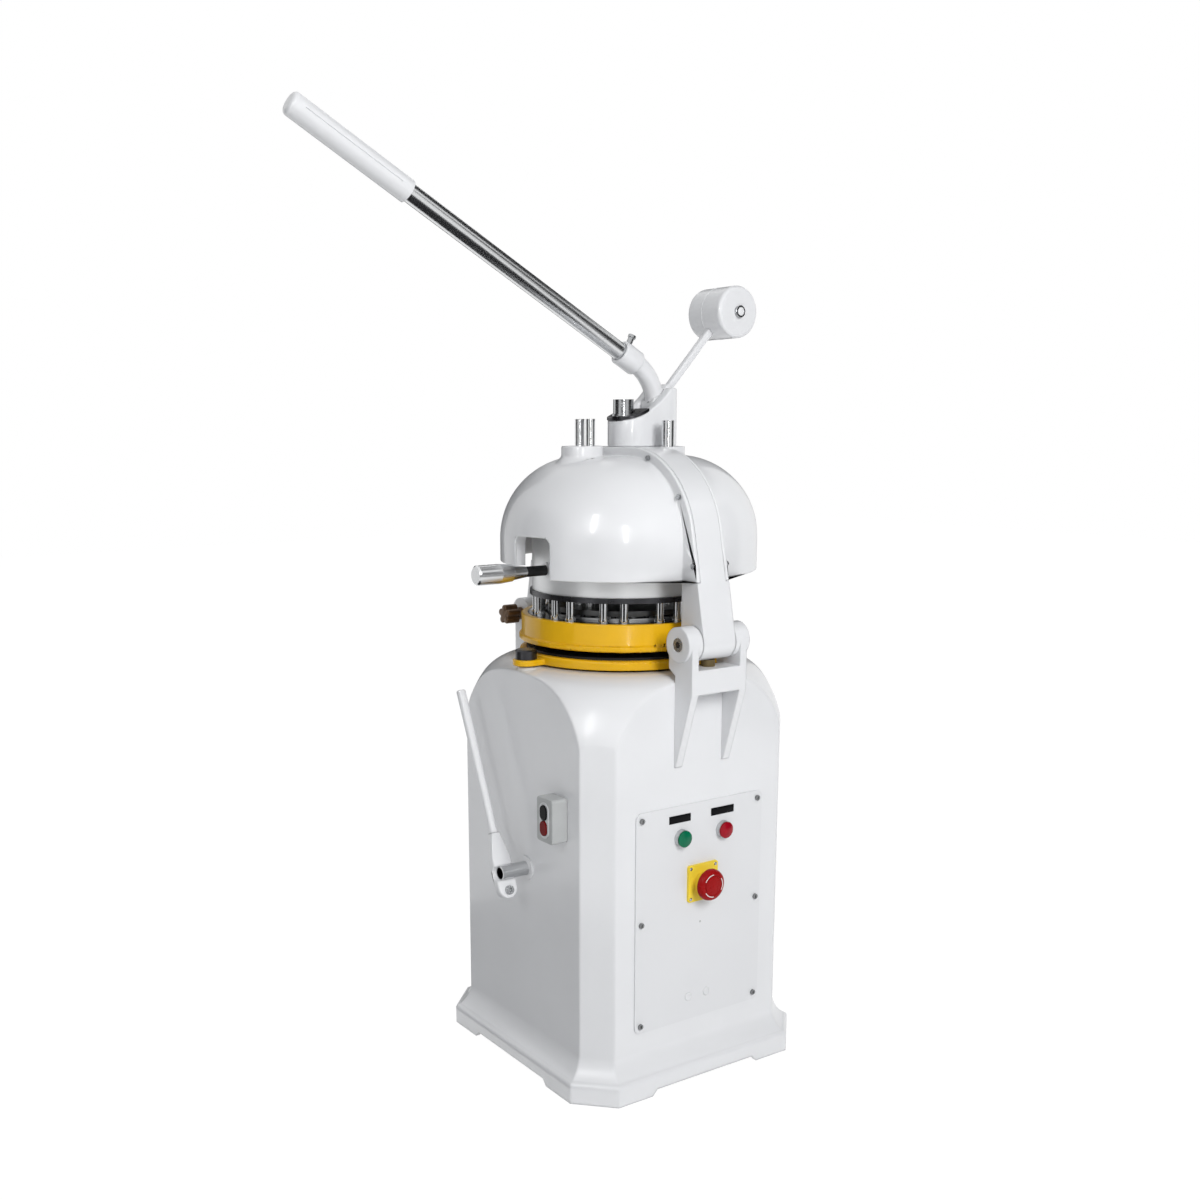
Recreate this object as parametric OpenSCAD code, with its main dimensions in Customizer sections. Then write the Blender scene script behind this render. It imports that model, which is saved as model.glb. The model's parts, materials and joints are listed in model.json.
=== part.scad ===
// Dough divider rounder: a cast pedestal with an orbiting rounding table,
// and a tilting head that presses and cuts the dough.
// The floor centre of the base is the origin, +Z is up, the operator stands at -Y,
// the head tilts about a hinge on the +X side and is clamped on the -X side.

/* [Pedestal] */
// Overhang of the base flange on each side of the body
skirt_out = 31; // [26:1:36]
// Leg of the corner chamfer of the base flange
base_chamfer = 66; // [50:1:80]
// Height of the base flange
flange_h = 42; // [30:1:52]
// Width of the body above the flange
body_w = 498; // [480:1:510]
// Height at which the skirt meets the body wall
skirt_z = 88; // [72:1:100]
// Height of the round shoulder below the rim
shoulder_h = 166; // [146:1:186]
// Height of the white rim on top
rim_z = 806; // [790:1:830]
// Width of the level crown beyond the rounding ring
rim_lap = 14; // [8:1:20]
// Radius of the round crown edge
crown_r = 85; // [75:1:92]
// Distance of the top opening's edge inside the rounding ring
bore_inset = 8; // [4:0.5:12]
// Wall of the casting
wall_t = 9; // [7:0.5:12]
// Rise of the lower edge between the feet
foot_rise = 12; // [6:1:18]
// Length of the gap between two feet
foot_gap = 266; // [220:1:300]
// Radius of the corner columns inside the casting
column_r = 26; // [24:1:32]
// Distance of an anchor hole from the faces of the body
anchor_inset = 46; // [43:1:49]
// Radius of an anchor hole
anchor_r = 6.5; // [5:0.5:9]
// Depth of an anchor hole
anchor_depth = 60; // [30:1:80]

/* [Access panel] */
// Width of the panel
panel_w = 312; // [290:1:330]
// Height of the panel
panel_h = 437; // [410:1:460]
// Height of the lower edge of the panel
panel_z = 120; // [105:1:130]
// Thickness of the panel
panel_t = 3; // [2:0.5:4]
// Lip of the wall that the panel covers
panel_lip = 26; // [22:1:34]
// Distance of a panel screw from the panel edge
screw_inset = 13; // [10:1:16]
// Radius of a panel screw head
screw_head_r = 5.5; // [4:0.5:8]
// Distance of the two lamps below the panel's upper edge
lamp_drop = 63; // [47:1:87]
// Place of the green lamp across the panel
green_y = -48; // [-60:1:-30]
// Place of the red lamp across the panel
red_y = 55; // [40:1:70]
// Radius of a lamp bezel
bezel_r = 17; // [14:0.5:20]
// Radius of a lamp lens
lens_r = 12; // [9:0.5:13]
// Distance of the emergency stop below the panel's upper edge
estop_drop = 159; // [147:1:187]
// Place of the emergency stop across the panel
estop_y = 4; // [-10:1:20]
// Side of the square stop base
estop_w = 73; // [70:1:90]
// Radius of the stop's mushroom head
estop_r = 31; // [25:1:34]
// Travel of the stop's head
estop_travel = 5; // [3:0.5:6]

/* [Push button station] */
// Width of the station box
station_w = 52; // [46:1:60]
// Height of the station box
station_h = 86; // [80:1:96]
// Depth of the station box
station_d = 35; // [30:1:45]
// Place of the station across the front
station_x = 138; // [120:1:150]
// Height of the station's middle
station_z = 540; // [500:1:560]
// Width of an oval button
button_w = 20; // [16:1:24]
// Height of an oval button
button_h = 28; // [24:1:30]
// Travel of a button
button_travel = 3; // [2:0.5:4]

/* [Rounding table] */
// Throw of the orbit
orbit_r = 8; // [5:0.5:10]
// Air between the rim and the rounding ring
table_gap = 4; // [3:0.5:6]
// Distance of the rounding ring inside the faces of the body
table_inset = 49; // [45:1:53]
// Height of the rounding ring
table_h = 18; // [14:1:22]
// Width of the ring around the black board
board_lip = 14; // [12:1:22]
// Height of the board above the ring
board_rise = 4; // [2:0.5:6]
// Thickness of the board
board_t = 10; // [8:0.5:12]
// Distance of the three guide eccentrics outside the ring
idler_out = 24; // [20:1:28]
// Radius of the shaft of a guide eccentric
idler_shaft_r = 10; // [8:0.5:11]
// Radius of the cap of a guide eccentric
idler_cap_r = 21; // [19:0.5:23]

/* [Drive] */
// Distance of the drive deck's underside below the rim
deck_drop = 116; // [106:1:136]
// Thickness of the drive deck
deck_t = 12; // [10:1:16]
// Radius of the crank shaft
crank_r = 20; // [16:0.5:22]
// Radius of the motor pulley
motor_pulley_r = 36; // [30:1:40]
// Distance of the motor's axis from the face of the body
motor_inset = 84; // [79:1:91]
// Radius of the motor
motor_r = 62; // [50:1:65]
// Length of the motor
motor_h = 240; // [200:1:300]
// Width of the belt and of the pulley grooves
belt_w = 22; // [16:1:26]

/* [Head] */
// Air between the board and the dividing ring
chamber_gap = 13; // [10:1:16]
// Reach of the dividing ring beyond the rounding ring
ring_over = 3; // [-2:1:6]
// Height of the dividing ring
ring_h = 52; // [46:1:60]
// Width of the dark ring around the dough chamber
chamber_wall = 35; // [32:1:40]
// Length of the posts above the ring
post_h = 37; // [34:1:46]
// Distance of the posts inside the dividing ring
post_inset = 30; // [28:0.5:32]
// Radius of a post
post_r = 8; // [6:0.5:9]
// Distance of the hanger plate's edge inside the dividing ring
hanger_inset = 17; // [13:1:19]
// Thickness of the hanger plate
hanger_t = 10; // [8:1:12]
// Distance of the cutting drum inside the hanger plate's edge
drum_inset = 5; // [4:1:8]
// Height of the cutting drum
drum_h = 132; // [120:1:140]
// Wall of the cutting drum
drum_t = 6; // [4:0.5:8]
// Height of the cover rims above the hanger plate
cover_lift = 36; // [32:1:40]
// Reach of the covers beyond the dividing ring
cover_out = 32; // [29:1:35]
// Height of the upright cover wall
cover_wall_h = 65; // [60:1:70]
// Radius of the round cover shoulder
cover_round = 160; // [150:1:165]
// Thickness of the covers
cover_t = 5; // [4:0.5:7]
// Distance of the front cover's centre before the axis
front_shift = 11; // [0:1:20]
// Distance of the rear cover's centre behind the axis
rear_shift = 40; // [36:1:44]
// Width of the notch for the cutting handle
notch_w = 95; // [90:1:100]
// Height of the notch
notch_h = 78; // [60:1:80]
// Relief of the front cover's rim on the clamp side
rim_relief = 20; // [10:1:24]
// Width of the bow
bow_w = 76; // [72:1:80]
// Thickness of the cover flanges on the bow
flange_t = 8; // [6:0.5:10]
// Height of the bow above the covers
bow_proud = 17; // [14:1:22]
// Radius of the round bow shoulder
bow_round = 186; // [180:1:192]

/* [Hinge and clamp] */
// Distance of the hinge axis from the dividing ring
hinge_reach = 61; // [59:1:66]
// Height of the hinge axis above the lower edge of the dividing ring
hinge_rise = 23; // [18:1:30]
// Radius of the hinge bosses and of the bow ends
boss_r = 33; // [30:0.5:35]
// Radius of the hinge pin
pin_r = 13; // [10:0.5:15]
// Width of a bracket
bracket_w = 132; // [126:1:140]
// Width over the bosses
boss_w = 146; // [142:1:156]
// Thickness of a bracket rib
rib_t = 16; // [12:1:20]
// Depth of the bracket ribs below the rim
rib_drop = 172; // [156:1:186]
// Height of the bracket cross block
block_h = 46; // [38:1:50]
// Radius of the star knob
knob_r = 21; // [18:0.5:24]
// Length of the star knob
knob_l = 32; // [26:1:40]

/* [Cutting handle] */
// Angle of the handle at rest, seen from above
handle_angle = -90; // [-91:0.5:-88]
// Height of the handle above the hanger plate
handle_lift = 46; // [42:1:50]
// Radius of the dark bush
handle_bush_r = 10; // [8:0.5:11]
// Length of the dark bush
handle_bush_l = 46; // [40:1:50]
// Radius of the grip at its outer end
handle_r = 19; // [16:0.5:20]
// Radius of the grip at its inner end
handle_root_r = 10.5; // [10:0.5:13]
// Length of the grip
handle_l = 110; // [100:1:130]

/* [Press] */
// Stroke of the press
press_stroke = 30; // [24:1:30]
// Air between the press plate and the chamber wall
press_air = 7; // [6:1:15]
// Thickness of the press plate
press_t = 10; // [8:1:12]
// Thickness of a press pad
pad_t = 12; // [10:1:14]
// Height of the blades
blade_h = 20; // [16:1:22]
// Thickness of the blades
blade_t = 2; // [1.5:0.25:2.5]
// Air on each side of a blade
blade_air = 1.5; // [1:0.25:2]
// Place of the guide rods as a share of the press plate's radius
rod_share = 0.635; // [0.61:0.005:0.66]
// Distance between the two front rods
front_rod_gap = 35; // [30:1:42]
// Radius of a front rod
front_rod_r = 9; // [7:0.5:10]
// Radius of a side rod
side_rod_r = 12.5; // [10:0.5:14]
// Length of the rods above the bow
rod_proud = 50; // [44:1:60]
// Radius of the centre column
centre_r = 14; // [12:0.5:16]

/* [Tower and main lever] */
// Half width of the tower
tower_r = 45; // [42:1:48]
// Place of the front round of the tower
tower_front_y = 18; // [14:1:22]
// Place of the rear round of the tower
tower_rear_y = 76; // [72:1:80]
// Height of the tower
tower_h = 113; // [108:1:120]
// Radius of the scooped tower top
scoop_r = 179; // [170:1:186]
// Place of the scoop's middle
scoop_y = -52; // [-56:1:-48]
// Place of the lever pin behind the axis
lever_y = 78; // [74:1:82]
// Height of the lever pin above the bow
lever_rise = 78; // [76:1:84]
// Radius of the lever pin
lever_pin_r = 9; // [7:0.5:10]
// Elevation of the lever at rest
lever_tilt = 29.4; // [20:0.2:36]
// Radius of the lever elbow
elbow_r = 18.5; // [16:0.5:20]
// Bend radius of the elbow
elbow_bend = 93; // [88:1:98]
// Radius of the lever socket
socket_r = 24; // [21:0.5:27]
// Length of the lever socket
socket_l = 46; // [40:1:60]
// Radius of the lever tube
tube_r = 17; // [14:0.5:19]
// Wall of the lever tube
tube_t = 3; // [2:0.5:5]
// Visible length of the lever tube
tube_l = 525; // [480:1:560]
// Radius of the lever grip
grip_r = 21; // [20:0.5:24]
// Length of the lever grip
grip_l = 247; // [200:1:280]
// Width of the counterweight arm
arm_w = 14; // [12:1:18]
// Elevation of the counterweight arm
arm_tilt = 47; // [40:1:52]
// Distance of the counterweight from the lever pin
weight_reach = 253; // [230:1:270]
// Radius of the counterweight
weight_r = 51; // [46:1:56]
// Length of the counterweight
weight_l = 100; // [90:1:120]

/* [Rounding lever] */
// Place of the lever shaft across the front
rlever_x = 22; // [10:1:34]
// Height of the lever shaft
rlever_z = 409; // [390:1:430]
// Radius of the shaft
rshaft_r = 14; // [11:0.5:15]
// Length of the shaft before the body
rshaft_l = 62; // [50:1:64]
// Thickness of the clamp block beside the shaft
rblock_t = 18; // [16:1:22]
// Width of the clamp block along the shaft
rblock_w = 41; // [30:1:44]
// Lean of the lever at rest
rlever_lean = 24; // [15:0.5:30]
// Length of the lever
rlever_l = 372; // [340:1:390]
// Height at which the lever's blade turns into the rod
blade_l = 80; // [70:1:90]
// Radius of the rod at the blade
rrod_r = 8; // [6:0.5:9]
// Radius of the rod at its end
rrod_end_r = 9.5; // [7.5:0.5:10]

/* [Hidden] */
$fn = 96;

// Small distances that several pieces share
running = 0.05;
slide_air = 0.3;
eps = 0.01;
over = 1;

// Pedestal
panel_top = panel_z + panel_h;
lamp_z = panel_top - lamp_drop;
estop_z = panel_top - estop_drop;
base_w = body_w + 2 * skirt_out;
base_half = base_w / 2;
body_half = body_w / 2;
table_r = body_half - table_inset;
rim_r = table_r + rim_lap;
rim_bore_r = table_r - bore_inset;
shoulder_z = rim_z - shoulder_h;
deck_z = rim_z - deck_drop;
skirt_edge = 8;
skirt_crease = 0.4;
skirt_run = skirt_out - skirt_edge;
skirt_rise = skirt_z - flange_h;
skirt_fillet = (skirt_run * skirt_run + skirt_rise * skirt_rise) / (2 * skirt_run);
body_diag = (base_w - base_chamfer) / sqrt(2) - skirt_out;
body_chamfer = base_chamfer - (2 - sqrt(2)) * skirt_out;
shoulder_r = norm([body_half, body_half - body_chamfer]) + 4;
shoulder_in = shoulder_r - rim_r;
shoulder_rise = rim_z - shoulder_z;
flank_r = (shoulder_in * shoulder_in + pow(shoulder_rise - crown_r, 2) - crown_r * crown_r)
  / (2 * (shoulder_in - crown_r));
flank_c = [shoulder_r - flank_r, shoulder_z];
crown_c = [rim_r, rim_z - crown_r];
crown_dir = (crown_c - flank_c) / norm(crown_c - flank_c);
lip_z = flange_h - skirt_edge - 4;
anchor_half = body_half - anchor_inset;

// Rounding table
board_r = table_r - board_lip;
idler_r = table_r + idler_out;
table_z = rim_z + table_gap;
table_top = table_z + table_h;
board_top = table_top + board_rise;
board_z = board_top - board_t;
orbit = [0, -orbit_r];
idler_angles = [-90, 30, 150];
idler_boss_r = idler_shaft_r + 13;
idler_boss_drop = 44;
idler_boss_z = rim_z - idler_boss_drop;
idler_boss_top = rim_z + 1;
idler_cap_h = 19;
idler_cap_edge = 3;
ear_r = idler_cap_r + 5;
ear_h = table_h - 6.5;

// Drive
bearing_r = 46;
bearing_h = 64;
crank_pin_r = 15;
crank_web_r = crank_pin_r + orbit_r + 9;
carrier_r = board_r - 8;
carrier_t = 12;
ring_seat_r = carrier_r - 16;
hub_r = 30;
hub_drop = 38;
hub_z = table_z - hub_drop;
hub_cap = 6;
crank_web_t = 14;
crank_web_z = hub_z - slide_air - crank_web_t;
pulley_air = 6;
pulley_h = belt_w + 8;
pulley_z = deck_z - bearing_h / 2 - pulley_air - pulley_h;
belt_t = 8;
groove_d = belt_t - 1;
motor_reach = body_half - motor_inset;
pulley_r = motor_reach * 2 / 3;
motor_pos = [-motor_reach, 0];
motor_flange_t = 12;
motor_shaft_r = 12;
motor_gap = 20;
motor_top = pulley_z - motor_gap;

// Heights of the head
ring_z = board_top + chamber_gap;
ring_top = ring_z + ring_h;
hanger_z = ring_top + post_h;
hanger_top = hanger_z + hanger_t;
cover_z = hanger_top + cover_lift;
wall_top = cover_z + cover_wall_h;
cover_top = wall_top + cover_round;
bow_top = cover_top + bow_proud;
deckplate_t = 14;
deckplate_drop = 105;
deckplate_z = cover_top - deckplate_drop;

// Radii of the head
ring_wall = 13;
ring_r = table_r + ring_over;
chamber_r = ring_r - ring_wall - chamber_wall;
post_circle_r = ring_r - post_inset;
hanger_r = ring_r - hanger_inset;
drum_r = hanger_r - drum_inset;
cover_r = ring_r + cover_out;
deckplate_in = 16;
deckplate_r = drum_r - deckplate_in;

// Bow
bow_half = bow_w / 2;
web_half = bow_half - flange_t;
bow_c = [cover_r - cover_round, bow_top - bow_round];
hinge_x = ring_r + hinge_reach;
hinge_z = ring_z + hinge_rise;
hinge_vec = [hinge_x, hinge_z] - bow_c;
line_angle = acos((bow_round - boss_r) / norm(hinge_vec)) - atan2(-hinge_vec[1], hinge_vec[0]);
line_dir = [cos(line_angle), sin(line_angle)];
arm_top_pt = bow_c + bow_round * line_dir;
arm_end_pt = [hinge_x, hinge_z] + boss_r * line_dir;
bow_in_x = hinge_x - boss_r;
bow_in_round = 150;
bow_depth = 62;
bow_in_top = bow_top - bow_depth;
bow_hub_r = 70;
bow_hub_neck = 60;
pad_r = tower_r + 5;
side_boss_r = side_rod_r + 20;
side_boss_h = 72;
side_boss_z = bow_top - side_boss_h;
front_boss_r = 40;
front_boss_proud = 3;
front_boss_top = bow_top + front_boss_proud;
front_boss_out = 7;
cover_screw_depth = 16;
cover_screw_in = 11;
arm_screw_in = 32;
arm_screw_up = 30;

// Brackets
block_x = hinge_x + boss_r;
block_top = hinge_z - boss_r - 13;
block_z = block_top - block_h;
cheek_in = bracket_w / 2 - rib_t;
boss_in = bow_half + 2;
rib_foot_z = rim_z - rib_drop;
rib_foot = 5;
bumper_r = 13;
stop_r = 6;

// Handle and notch
handle_z = hanger_top + handle_lift;
handle_boss_r = handle_bush_r + 5;
handle_seat = drum_r + 6;
notch_x0 = -15;
notch_round = 14;

// Press
press_r = chamber_r - press_air;
rod_circle_r = press_r * rod_share;
press_hang = 29;
press_z = hanger_z - press_hang;
pad_sink = 17;
pad_z = ring_top - pad_sink;
stem_r = 5;
hub_stem_r = 15;
stem_l = press_z - pad_z - pad_t + 2 * eps;
pad_hub_r = press_r / 3;
pad_mid_r = 2 * pad_hub_r;
pad_rings = [[0, pad_hub_r, 1], [pad_hub_r + blade_t, pad_mid_r, 6], [pad_mid_r + blade_t, press_r, 12]];
knife_z = pad_z + 1;
knife_rod_r = 4;
rod_top = bow_top + rod_proud;
front_rod_y = -sqrt(rod_circle_r * rod_circle_r - front_rod_gap * front_rod_gap / 4);
side_rod_angles = [30, 150];
side_rod_x = rod_circle_r * cos(side_rod_angles[0]);

// Screws of the covers stay clear of the side bosses
cover_screw_clear = 15;
cover_screw_seat = bow_round - cover_screw_in;
cover_screw_x = side_rod_x + side_boss_r + cover_screw_clear;
cover_screw_angles = [acos((cover_screw_x - bow_c[0]) / cover_screw_seat), 34];
rod_air = 0.4;

// Tower and lever
scoop_lift = 49;
scoop_z = bow_top + scoop_r + scoop_lift;
slot_half = 20;
slot_lift = 44;
slot_z = bow_top + slot_lift;
lever_z = bow_top + lever_rise;
hub_lever_r = 21;
lever_axis = [-cos(lever_tilt), sin(lever_tilt)];
elbow_turn = 90 - lever_tilt;
elbow_c = [lever_y - elbow_bend, lever_z];
elbow_start = elbow_c + elbow_bend * [cos(elbow_turn), sin(elbow_turn)];
tube_in = 34;
socket_end = elbow_start + socket_l * lever_axis;
nut_r = 20;
nut_h = 32;
nut_lift = 59;
nut_z = bow_top + nut_lift;
washer_r = 23;
slot_y = washer_r + 5;
washer_t = 4;
collar_t = 5;
collar_y = 28;
collar_lap = 1.5;
arm_t = 14;
lug_w = 24;
lug_l = 50;
weight_c = [lever_y + weight_reach * cos(arm_tilt), lever_z + weight_reach * sin(arm_tilt)];

// Rounding lever
rbush_r = rshaft_r + 10;
rbush_t = 4;
rshaft_wall = 2.5;
rblock_out = 9;
rarm_y = -body_half - rshaft_l - rblock_out;
rarm_c = rarm_y + rblock_w / 2;
rblock_up = 32;
rblock_down = 30;

// Plain shapes shared by several pieces

module along_y(from, length, radius) {
  translate([0, from, 0])
    rotate([-90, 0, 0])
      cylinder(h = length, r = radius);
}

module along_x(from, length, radius) {
  translate([from, 0, 0])
    rotate([0, 90, 0])
      cylinder(h = length, r = radius);
}

// A flat outline drawn in x and z, made thick along y
module slab_y(from, thick) {
  translate([0, from + thick, 0])
    rotate([90, 0, 0])
      linear_extrude(height = thick)
        children();
}

// A flat outline drawn in y and z, made thick along x
module slab_x(from, thick) {
  translate([from, 0, 0])
    rotate([90, 0, 90])
      linear_extrude(height = thick)
        children();
}

module round_rect(w, h, r) {
  for (s = [-1, 1]) {
    for (t = [-1, 1]) {
      translate([s * (w / 2 - r), t * (h / 2 - r)])
        circle(r);
    }
  }
  square([w - 2 * r, h], center = true);
  square([w, h - 2 * r], center = true);
}

module ring_solid(z, h, outer, inner) {
  translate([0, 0, z])
    difference() {
      cylinder(h = h, r = outer);
      translate([0, 0, -over])
        cylinder(h = h + 2 * over, r = inner);
    }
}

module at_angle(angle, radius) {
  translate([radius * cos(angle), radius * sin(angle), 0])
    children();
}

// Pedestal casting

// Section of the skirt and body for a half width.
// The fillet meets the wall at a slight crease, lower on the corner faces.
module skirt_section(half, crease) {
  full = half + skirt_out;
  translate([-half, 0])
    square([2 * half, rim_z]);
  translate([-full, 0])
    square([2 * full, flange_h - skirt_edge]);
  translate([-full + skirt_edge, 0])
    square([2 * (full - skirt_edge), flange_h]);
  for (s = [0, 1]) {
    mirror([s, 0]) {
      translate([full - skirt_edge, flange_h - skirt_edge])
        circle(skirt_edge);
      difference() {
        translate([half - over, flange_h - over])
          square([skirt_run + over, skirt_rise + over]);
        translate([half + skirt_fillet - crease, skirt_z])
          circle(skirt_fillet);
      }
    }
  }
}

module mitred_body() {
  span = 2 * base_w;
  intersection() {
    slab_y(-span / 2, span)
      skirt_section(body_half, skirt_crease);
    slab_x(-span / 2, span)
      skirt_section(body_half, skirt_crease);
    rotate([0, 0, 45])
      slab_x(-span / 2, span)
        skirt_section(body_diag, 2 * skirt_crease);
    rotate([0, 0, 45])
      slab_y(-span / 2, span)
        skirt_section(body_diag, 2 * skirt_crease);
  }
}

// Section of the turned shoulder, moved in by the wall for the cavity
module shoulder_section(inset) {
  join = crown_c + (crown_r - inset) * crown_dir;
  square([base_w, shoulder_z]);
  intersection() {
    translate(flank_c)
      circle(flank_r - inset);
    translate([0, shoulder_z - over])
      square([base_w, join[1] - shoulder_z + over]);
  }
  intersection() {
    translate(crown_c)
      circle(crown_r - inset);
    translate([0, join[1] - over])
      square([base_w, rim_z]);
  }
  square([rim_r, rim_z - inset]);
}

module shoulder_solid(inset) {
  rotate_extrude()
    shoulder_section(inset);
}

module eight_sided(half, diag, z, h) {
  translate([0, 0, z])
    intersection() {
      translate([-half, -half, 0])
        cube([2 * half, 2 * half, h]);
      rotate([0, 0, 45])
        translate([-diag, -diag, 0])
          cube([2 * diag, 2 * diag, h]);
    }
}

module foot_gap_cut() {
  run = foot_gap / 2;
  slab_y(-base_w, 2 * base_w)
    polygon([[-run, -over], [run, -over], [run - foot_rise, foot_rise], [foot_rise - run, foot_rise]]);
}

module panel_screw_places() {
  for (s = [-1, 1]) {
    for (row = [0, 0.5, 1]) {
      y = s * (panel_w / 2 - screw_inset);
      z = panel_z + screw_inset + 2 + row * (panel_h - 2 * screw_inset - 4);
      translate([body_half, y, z])
        children();
    }
  }
}

module pedestal() {
  color("white")
    difference() {
      union() {
        difference() {
          intersection() {
            mitred_body();
            shoulder_solid(0);
          }
          intersection() {
            eight_sided(body_half - wall_t, body_diag - wall_t, -over, rim_z);
            shoulder_solid(wall_t);
          }
          eight_sided(base_half - wall_t, body_diag + skirt_out - wall_t, -over, lip_z + over);
          translate([0, 0, rim_z - 2 * wall_t])
            cylinder(h = 3 * wall_t, r = rim_bore_r);
        }
        for (x = [-1, 1]) {
          for (y = [-1, 1]) {
            translate([x * anchor_half, y * anchor_half, 0])
              cylinder(h = deck_z, r = column_r);
          }
        }
        for (a = idler_angles) {
          at_angle(a, idler_r)
            translate([0, 0, idler_boss_z])
              cylinder(h = idler_boss_top - idler_boss_z, r = idler_boss_r);
        }
      }
      foot_gap_cut();
      rotate([0, 0, 90])
        foot_gap_cut();
      for (a = idler_angles) {
        at_angle(a, idler_r)
          translate([0, 0, idler_boss_z - over])
            cylinder(h = rim_z, r = idler_shaft_r + running);
      }
      for (x = [-1, 1]) {
        for (y = [-1, 1]) {
          translate([x * anchor_half, y * anchor_half, -over])
            cylinder(h = anchor_depth + over, r = anchor_r);
          translate([x * anchor_half, y * anchor_half, deck_z - deck_bolt_l])
            cylinder(h = deck_bolt_l + over, r = deck_bolt_r);
        }
      }
      slab_x(body_half - 2 * wall_t, 3 * wall_t)
        translate([0, panel_z + panel_h / 2])
          round_rect(panel_w - 2 * panel_lip, panel_h - 2 * panel_lip, screw_inset);
      panel_screw_places()
        along_x(-panel_screw_l, panel_screw_l + over, panel_screw_r);
      translate([rlever_x, 0, rlever_z])
        along_y(-body_half - over, 3 * wall_t, rshaft_r + running);
    }
}

panel_screw_l = 16;
panel_screw_r = 2.5;
deck_bolt_r = 6;
deck_bolt_l = 40;

// Access panel and its devices

lamp_hole_r = 11;
bezel_t = 10;
lens_seat = 1;
lens_rim = 1;
lens_cap_t = 6;
estop_hole_r = 15;
estop_stem_r = 11;
estop_base_t = 5;
estop_collar_r = 21;
estop_collar_t = 11;
estop_head_t = 15;
device_l = 42;

module access_panel() {
  color("whitesmoke")
    difference() {
      slab_x(body_half, panel_t)
        translate([0, panel_z + panel_h / 2])
          round_rect(panel_w, panel_h, screw_inset);
      for (y = [green_y, red_y]) {
        translate([0, y, lamp_z])
          along_x(body_half - over, panel_t + 2 * over, lamp_hole_r);
      }
      translate([0, estop_y, estop_z])
        along_x(body_half - over, panel_t + 2 * over, estop_hole_r);
      panel_screw_places()
        along_x(-over, panel_t + 2 * over, panel_screw_r);
    }
}

module panel_screws() {
  color("silver")
    panel_screw_places() {
      along_x(-panel_screw_l, panel_screw_l + panel_t, panel_screw_r);
      difference() {
        along_x(panel_t, screw_head_r * 0.6, screw_head_r);
        translate([panel_t + screw_head_r * 0.35, 0, 0])
          cylinder(h = screw_head_r, r = screw_head_r * 0.4, center = true, $fn = 6);
      }
    }
}

module lamp_holder(y) {
  face = body_half + panel_t;
  translate([0, y, lamp_z])
    difference() {
      union() {
        along_x(face - device_l, device_l + eps, lamp_hole_r - running);
        along_x(face, bezel_t, bezel_r);
      }
      along_x(face + lens_seat, bezel_t, lens_r + running);
    }
}

module lamp_holders() {
  color("dimgray") {
    lamp_holder(green_y);
    lamp_holder(red_y);
  }
}

// Lens with a stem in the bezel and a domed cap that sits on the bezel's face
module lamp_lens(y) {
  face = body_half + panel_t;
  front = face + bezel_t;
  cap_r = bezel_r - lens_rim;
  dome_r = cap_r * 2.5;
  translate([0, y, lamp_z])
    rotate([0, 90, 0])
      rotate_extrude() {
        translate([0, face + lens_seat])
          square([lens_r, bezel_t - lens_seat + over]);
        intersection() {
          translate([0, front + lens_cap_t - dome_r])
            circle(dome_r);
          translate([0, front])
            square([cap_r, lens_cap_t]);
        }
      }
}

module green_lens() {
  color("green")
    lamp_lens(green_y);
}

module red_lens() {
  color("red")
    lamp_lens(red_y);
}

module estop_base() {
  face = body_half + panel_t;
  color("gold")
    translate([0, estop_y, estop_z])
      difference() {
        union() {
          slab_x(face, estop_base_t)
            round_rect(estop_w, estop_w, 4);
          along_x(face, estop_base_t + estop_collar_t, estop_collar_r);
          along_x(face - device_l, device_l + eps, estop_hole_r - running);
        }
        along_x(face - device_l + 4, 2 * device_l, estop_stem_r + running);
      }
}

module estop_head() {
  top = body_half + panel_t + estop_base_t + estop_collar_t + estop_travel + 1;
  dome_r = estop_r * 1.9;
  color("crimson")
    translate([0, estop_y, estop_z]) {
      along_x(top - device_l + estop_travel + 6, device_l, estop_stem_r);
      rotate([0, 90, 0])
        rotate_extrude()
          intersection() {
            translate([0, top + estop_head_t - dome_r])
              circle(dome_r);
            translate([0, top])
              square([estop_r, estop_head_t]);
          }
    }
}

// Start and stop station

button_sink = 12;
button_pitch = button_h + 2;
button_proud = 4;
station_wall = 4;

module button_outline(grow) {
  r = button_w / 2 + grow;
  run = (button_h - button_w) / 2;
  for (s = [-1, 1]) {
    translate([0, s * run])
      circle(r);
  }
  square([2 * r, 2 * run], center = true);
}

module station_box() {
  face = -body_half - station_d;
  color("silver")
    difference() {
      slab_y(face, station_d)
        translate([station_x, station_z])
          round_rect(station_w, station_h, 6);
      slab_y(face + button_sink + station_wall, station_d)
        translate([station_x, station_z])
          round_rect(station_w - 2 * station_wall, station_h - 2 * station_wall, 3);
      for (s = [-1, 1]) {
        slab_y(face - over, button_sink + over)
          translate([station_x, station_z + s * button_pitch / 2])
            button_outline(slide_air);
      }
    }
}

module oval_button(z) {
  face = -body_half - station_d;
  slab_y(face - button_proud, button_proud + button_sink - button_travel - 1)
    translate([station_x, z])
      button_outline(0);
}

module start_button() {
  color("black")
    oval_button(station_z + button_pitch / 2);
}

module stop_button() {
  color("firebrick")
    oval_button(station_z - button_pitch / 2);
}

// Hinge and clamp brackets

// Side of a bracket rib, from the body face out to the boss
module rib_side() {
  polygon([
    [body_half, rib_foot_z],
    [body_half + rib_foot, rib_foot_z],
    [block_x, block_z],
    [block_x, hinge_z],
    [bow_in_x, hinge_z],
    [bow_in_x, rim_z + 14],
    [body_half, rim_z + 2]
  ]);
  translate([hinge_x, hinge_z])
    circle(boss_r);
}

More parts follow.
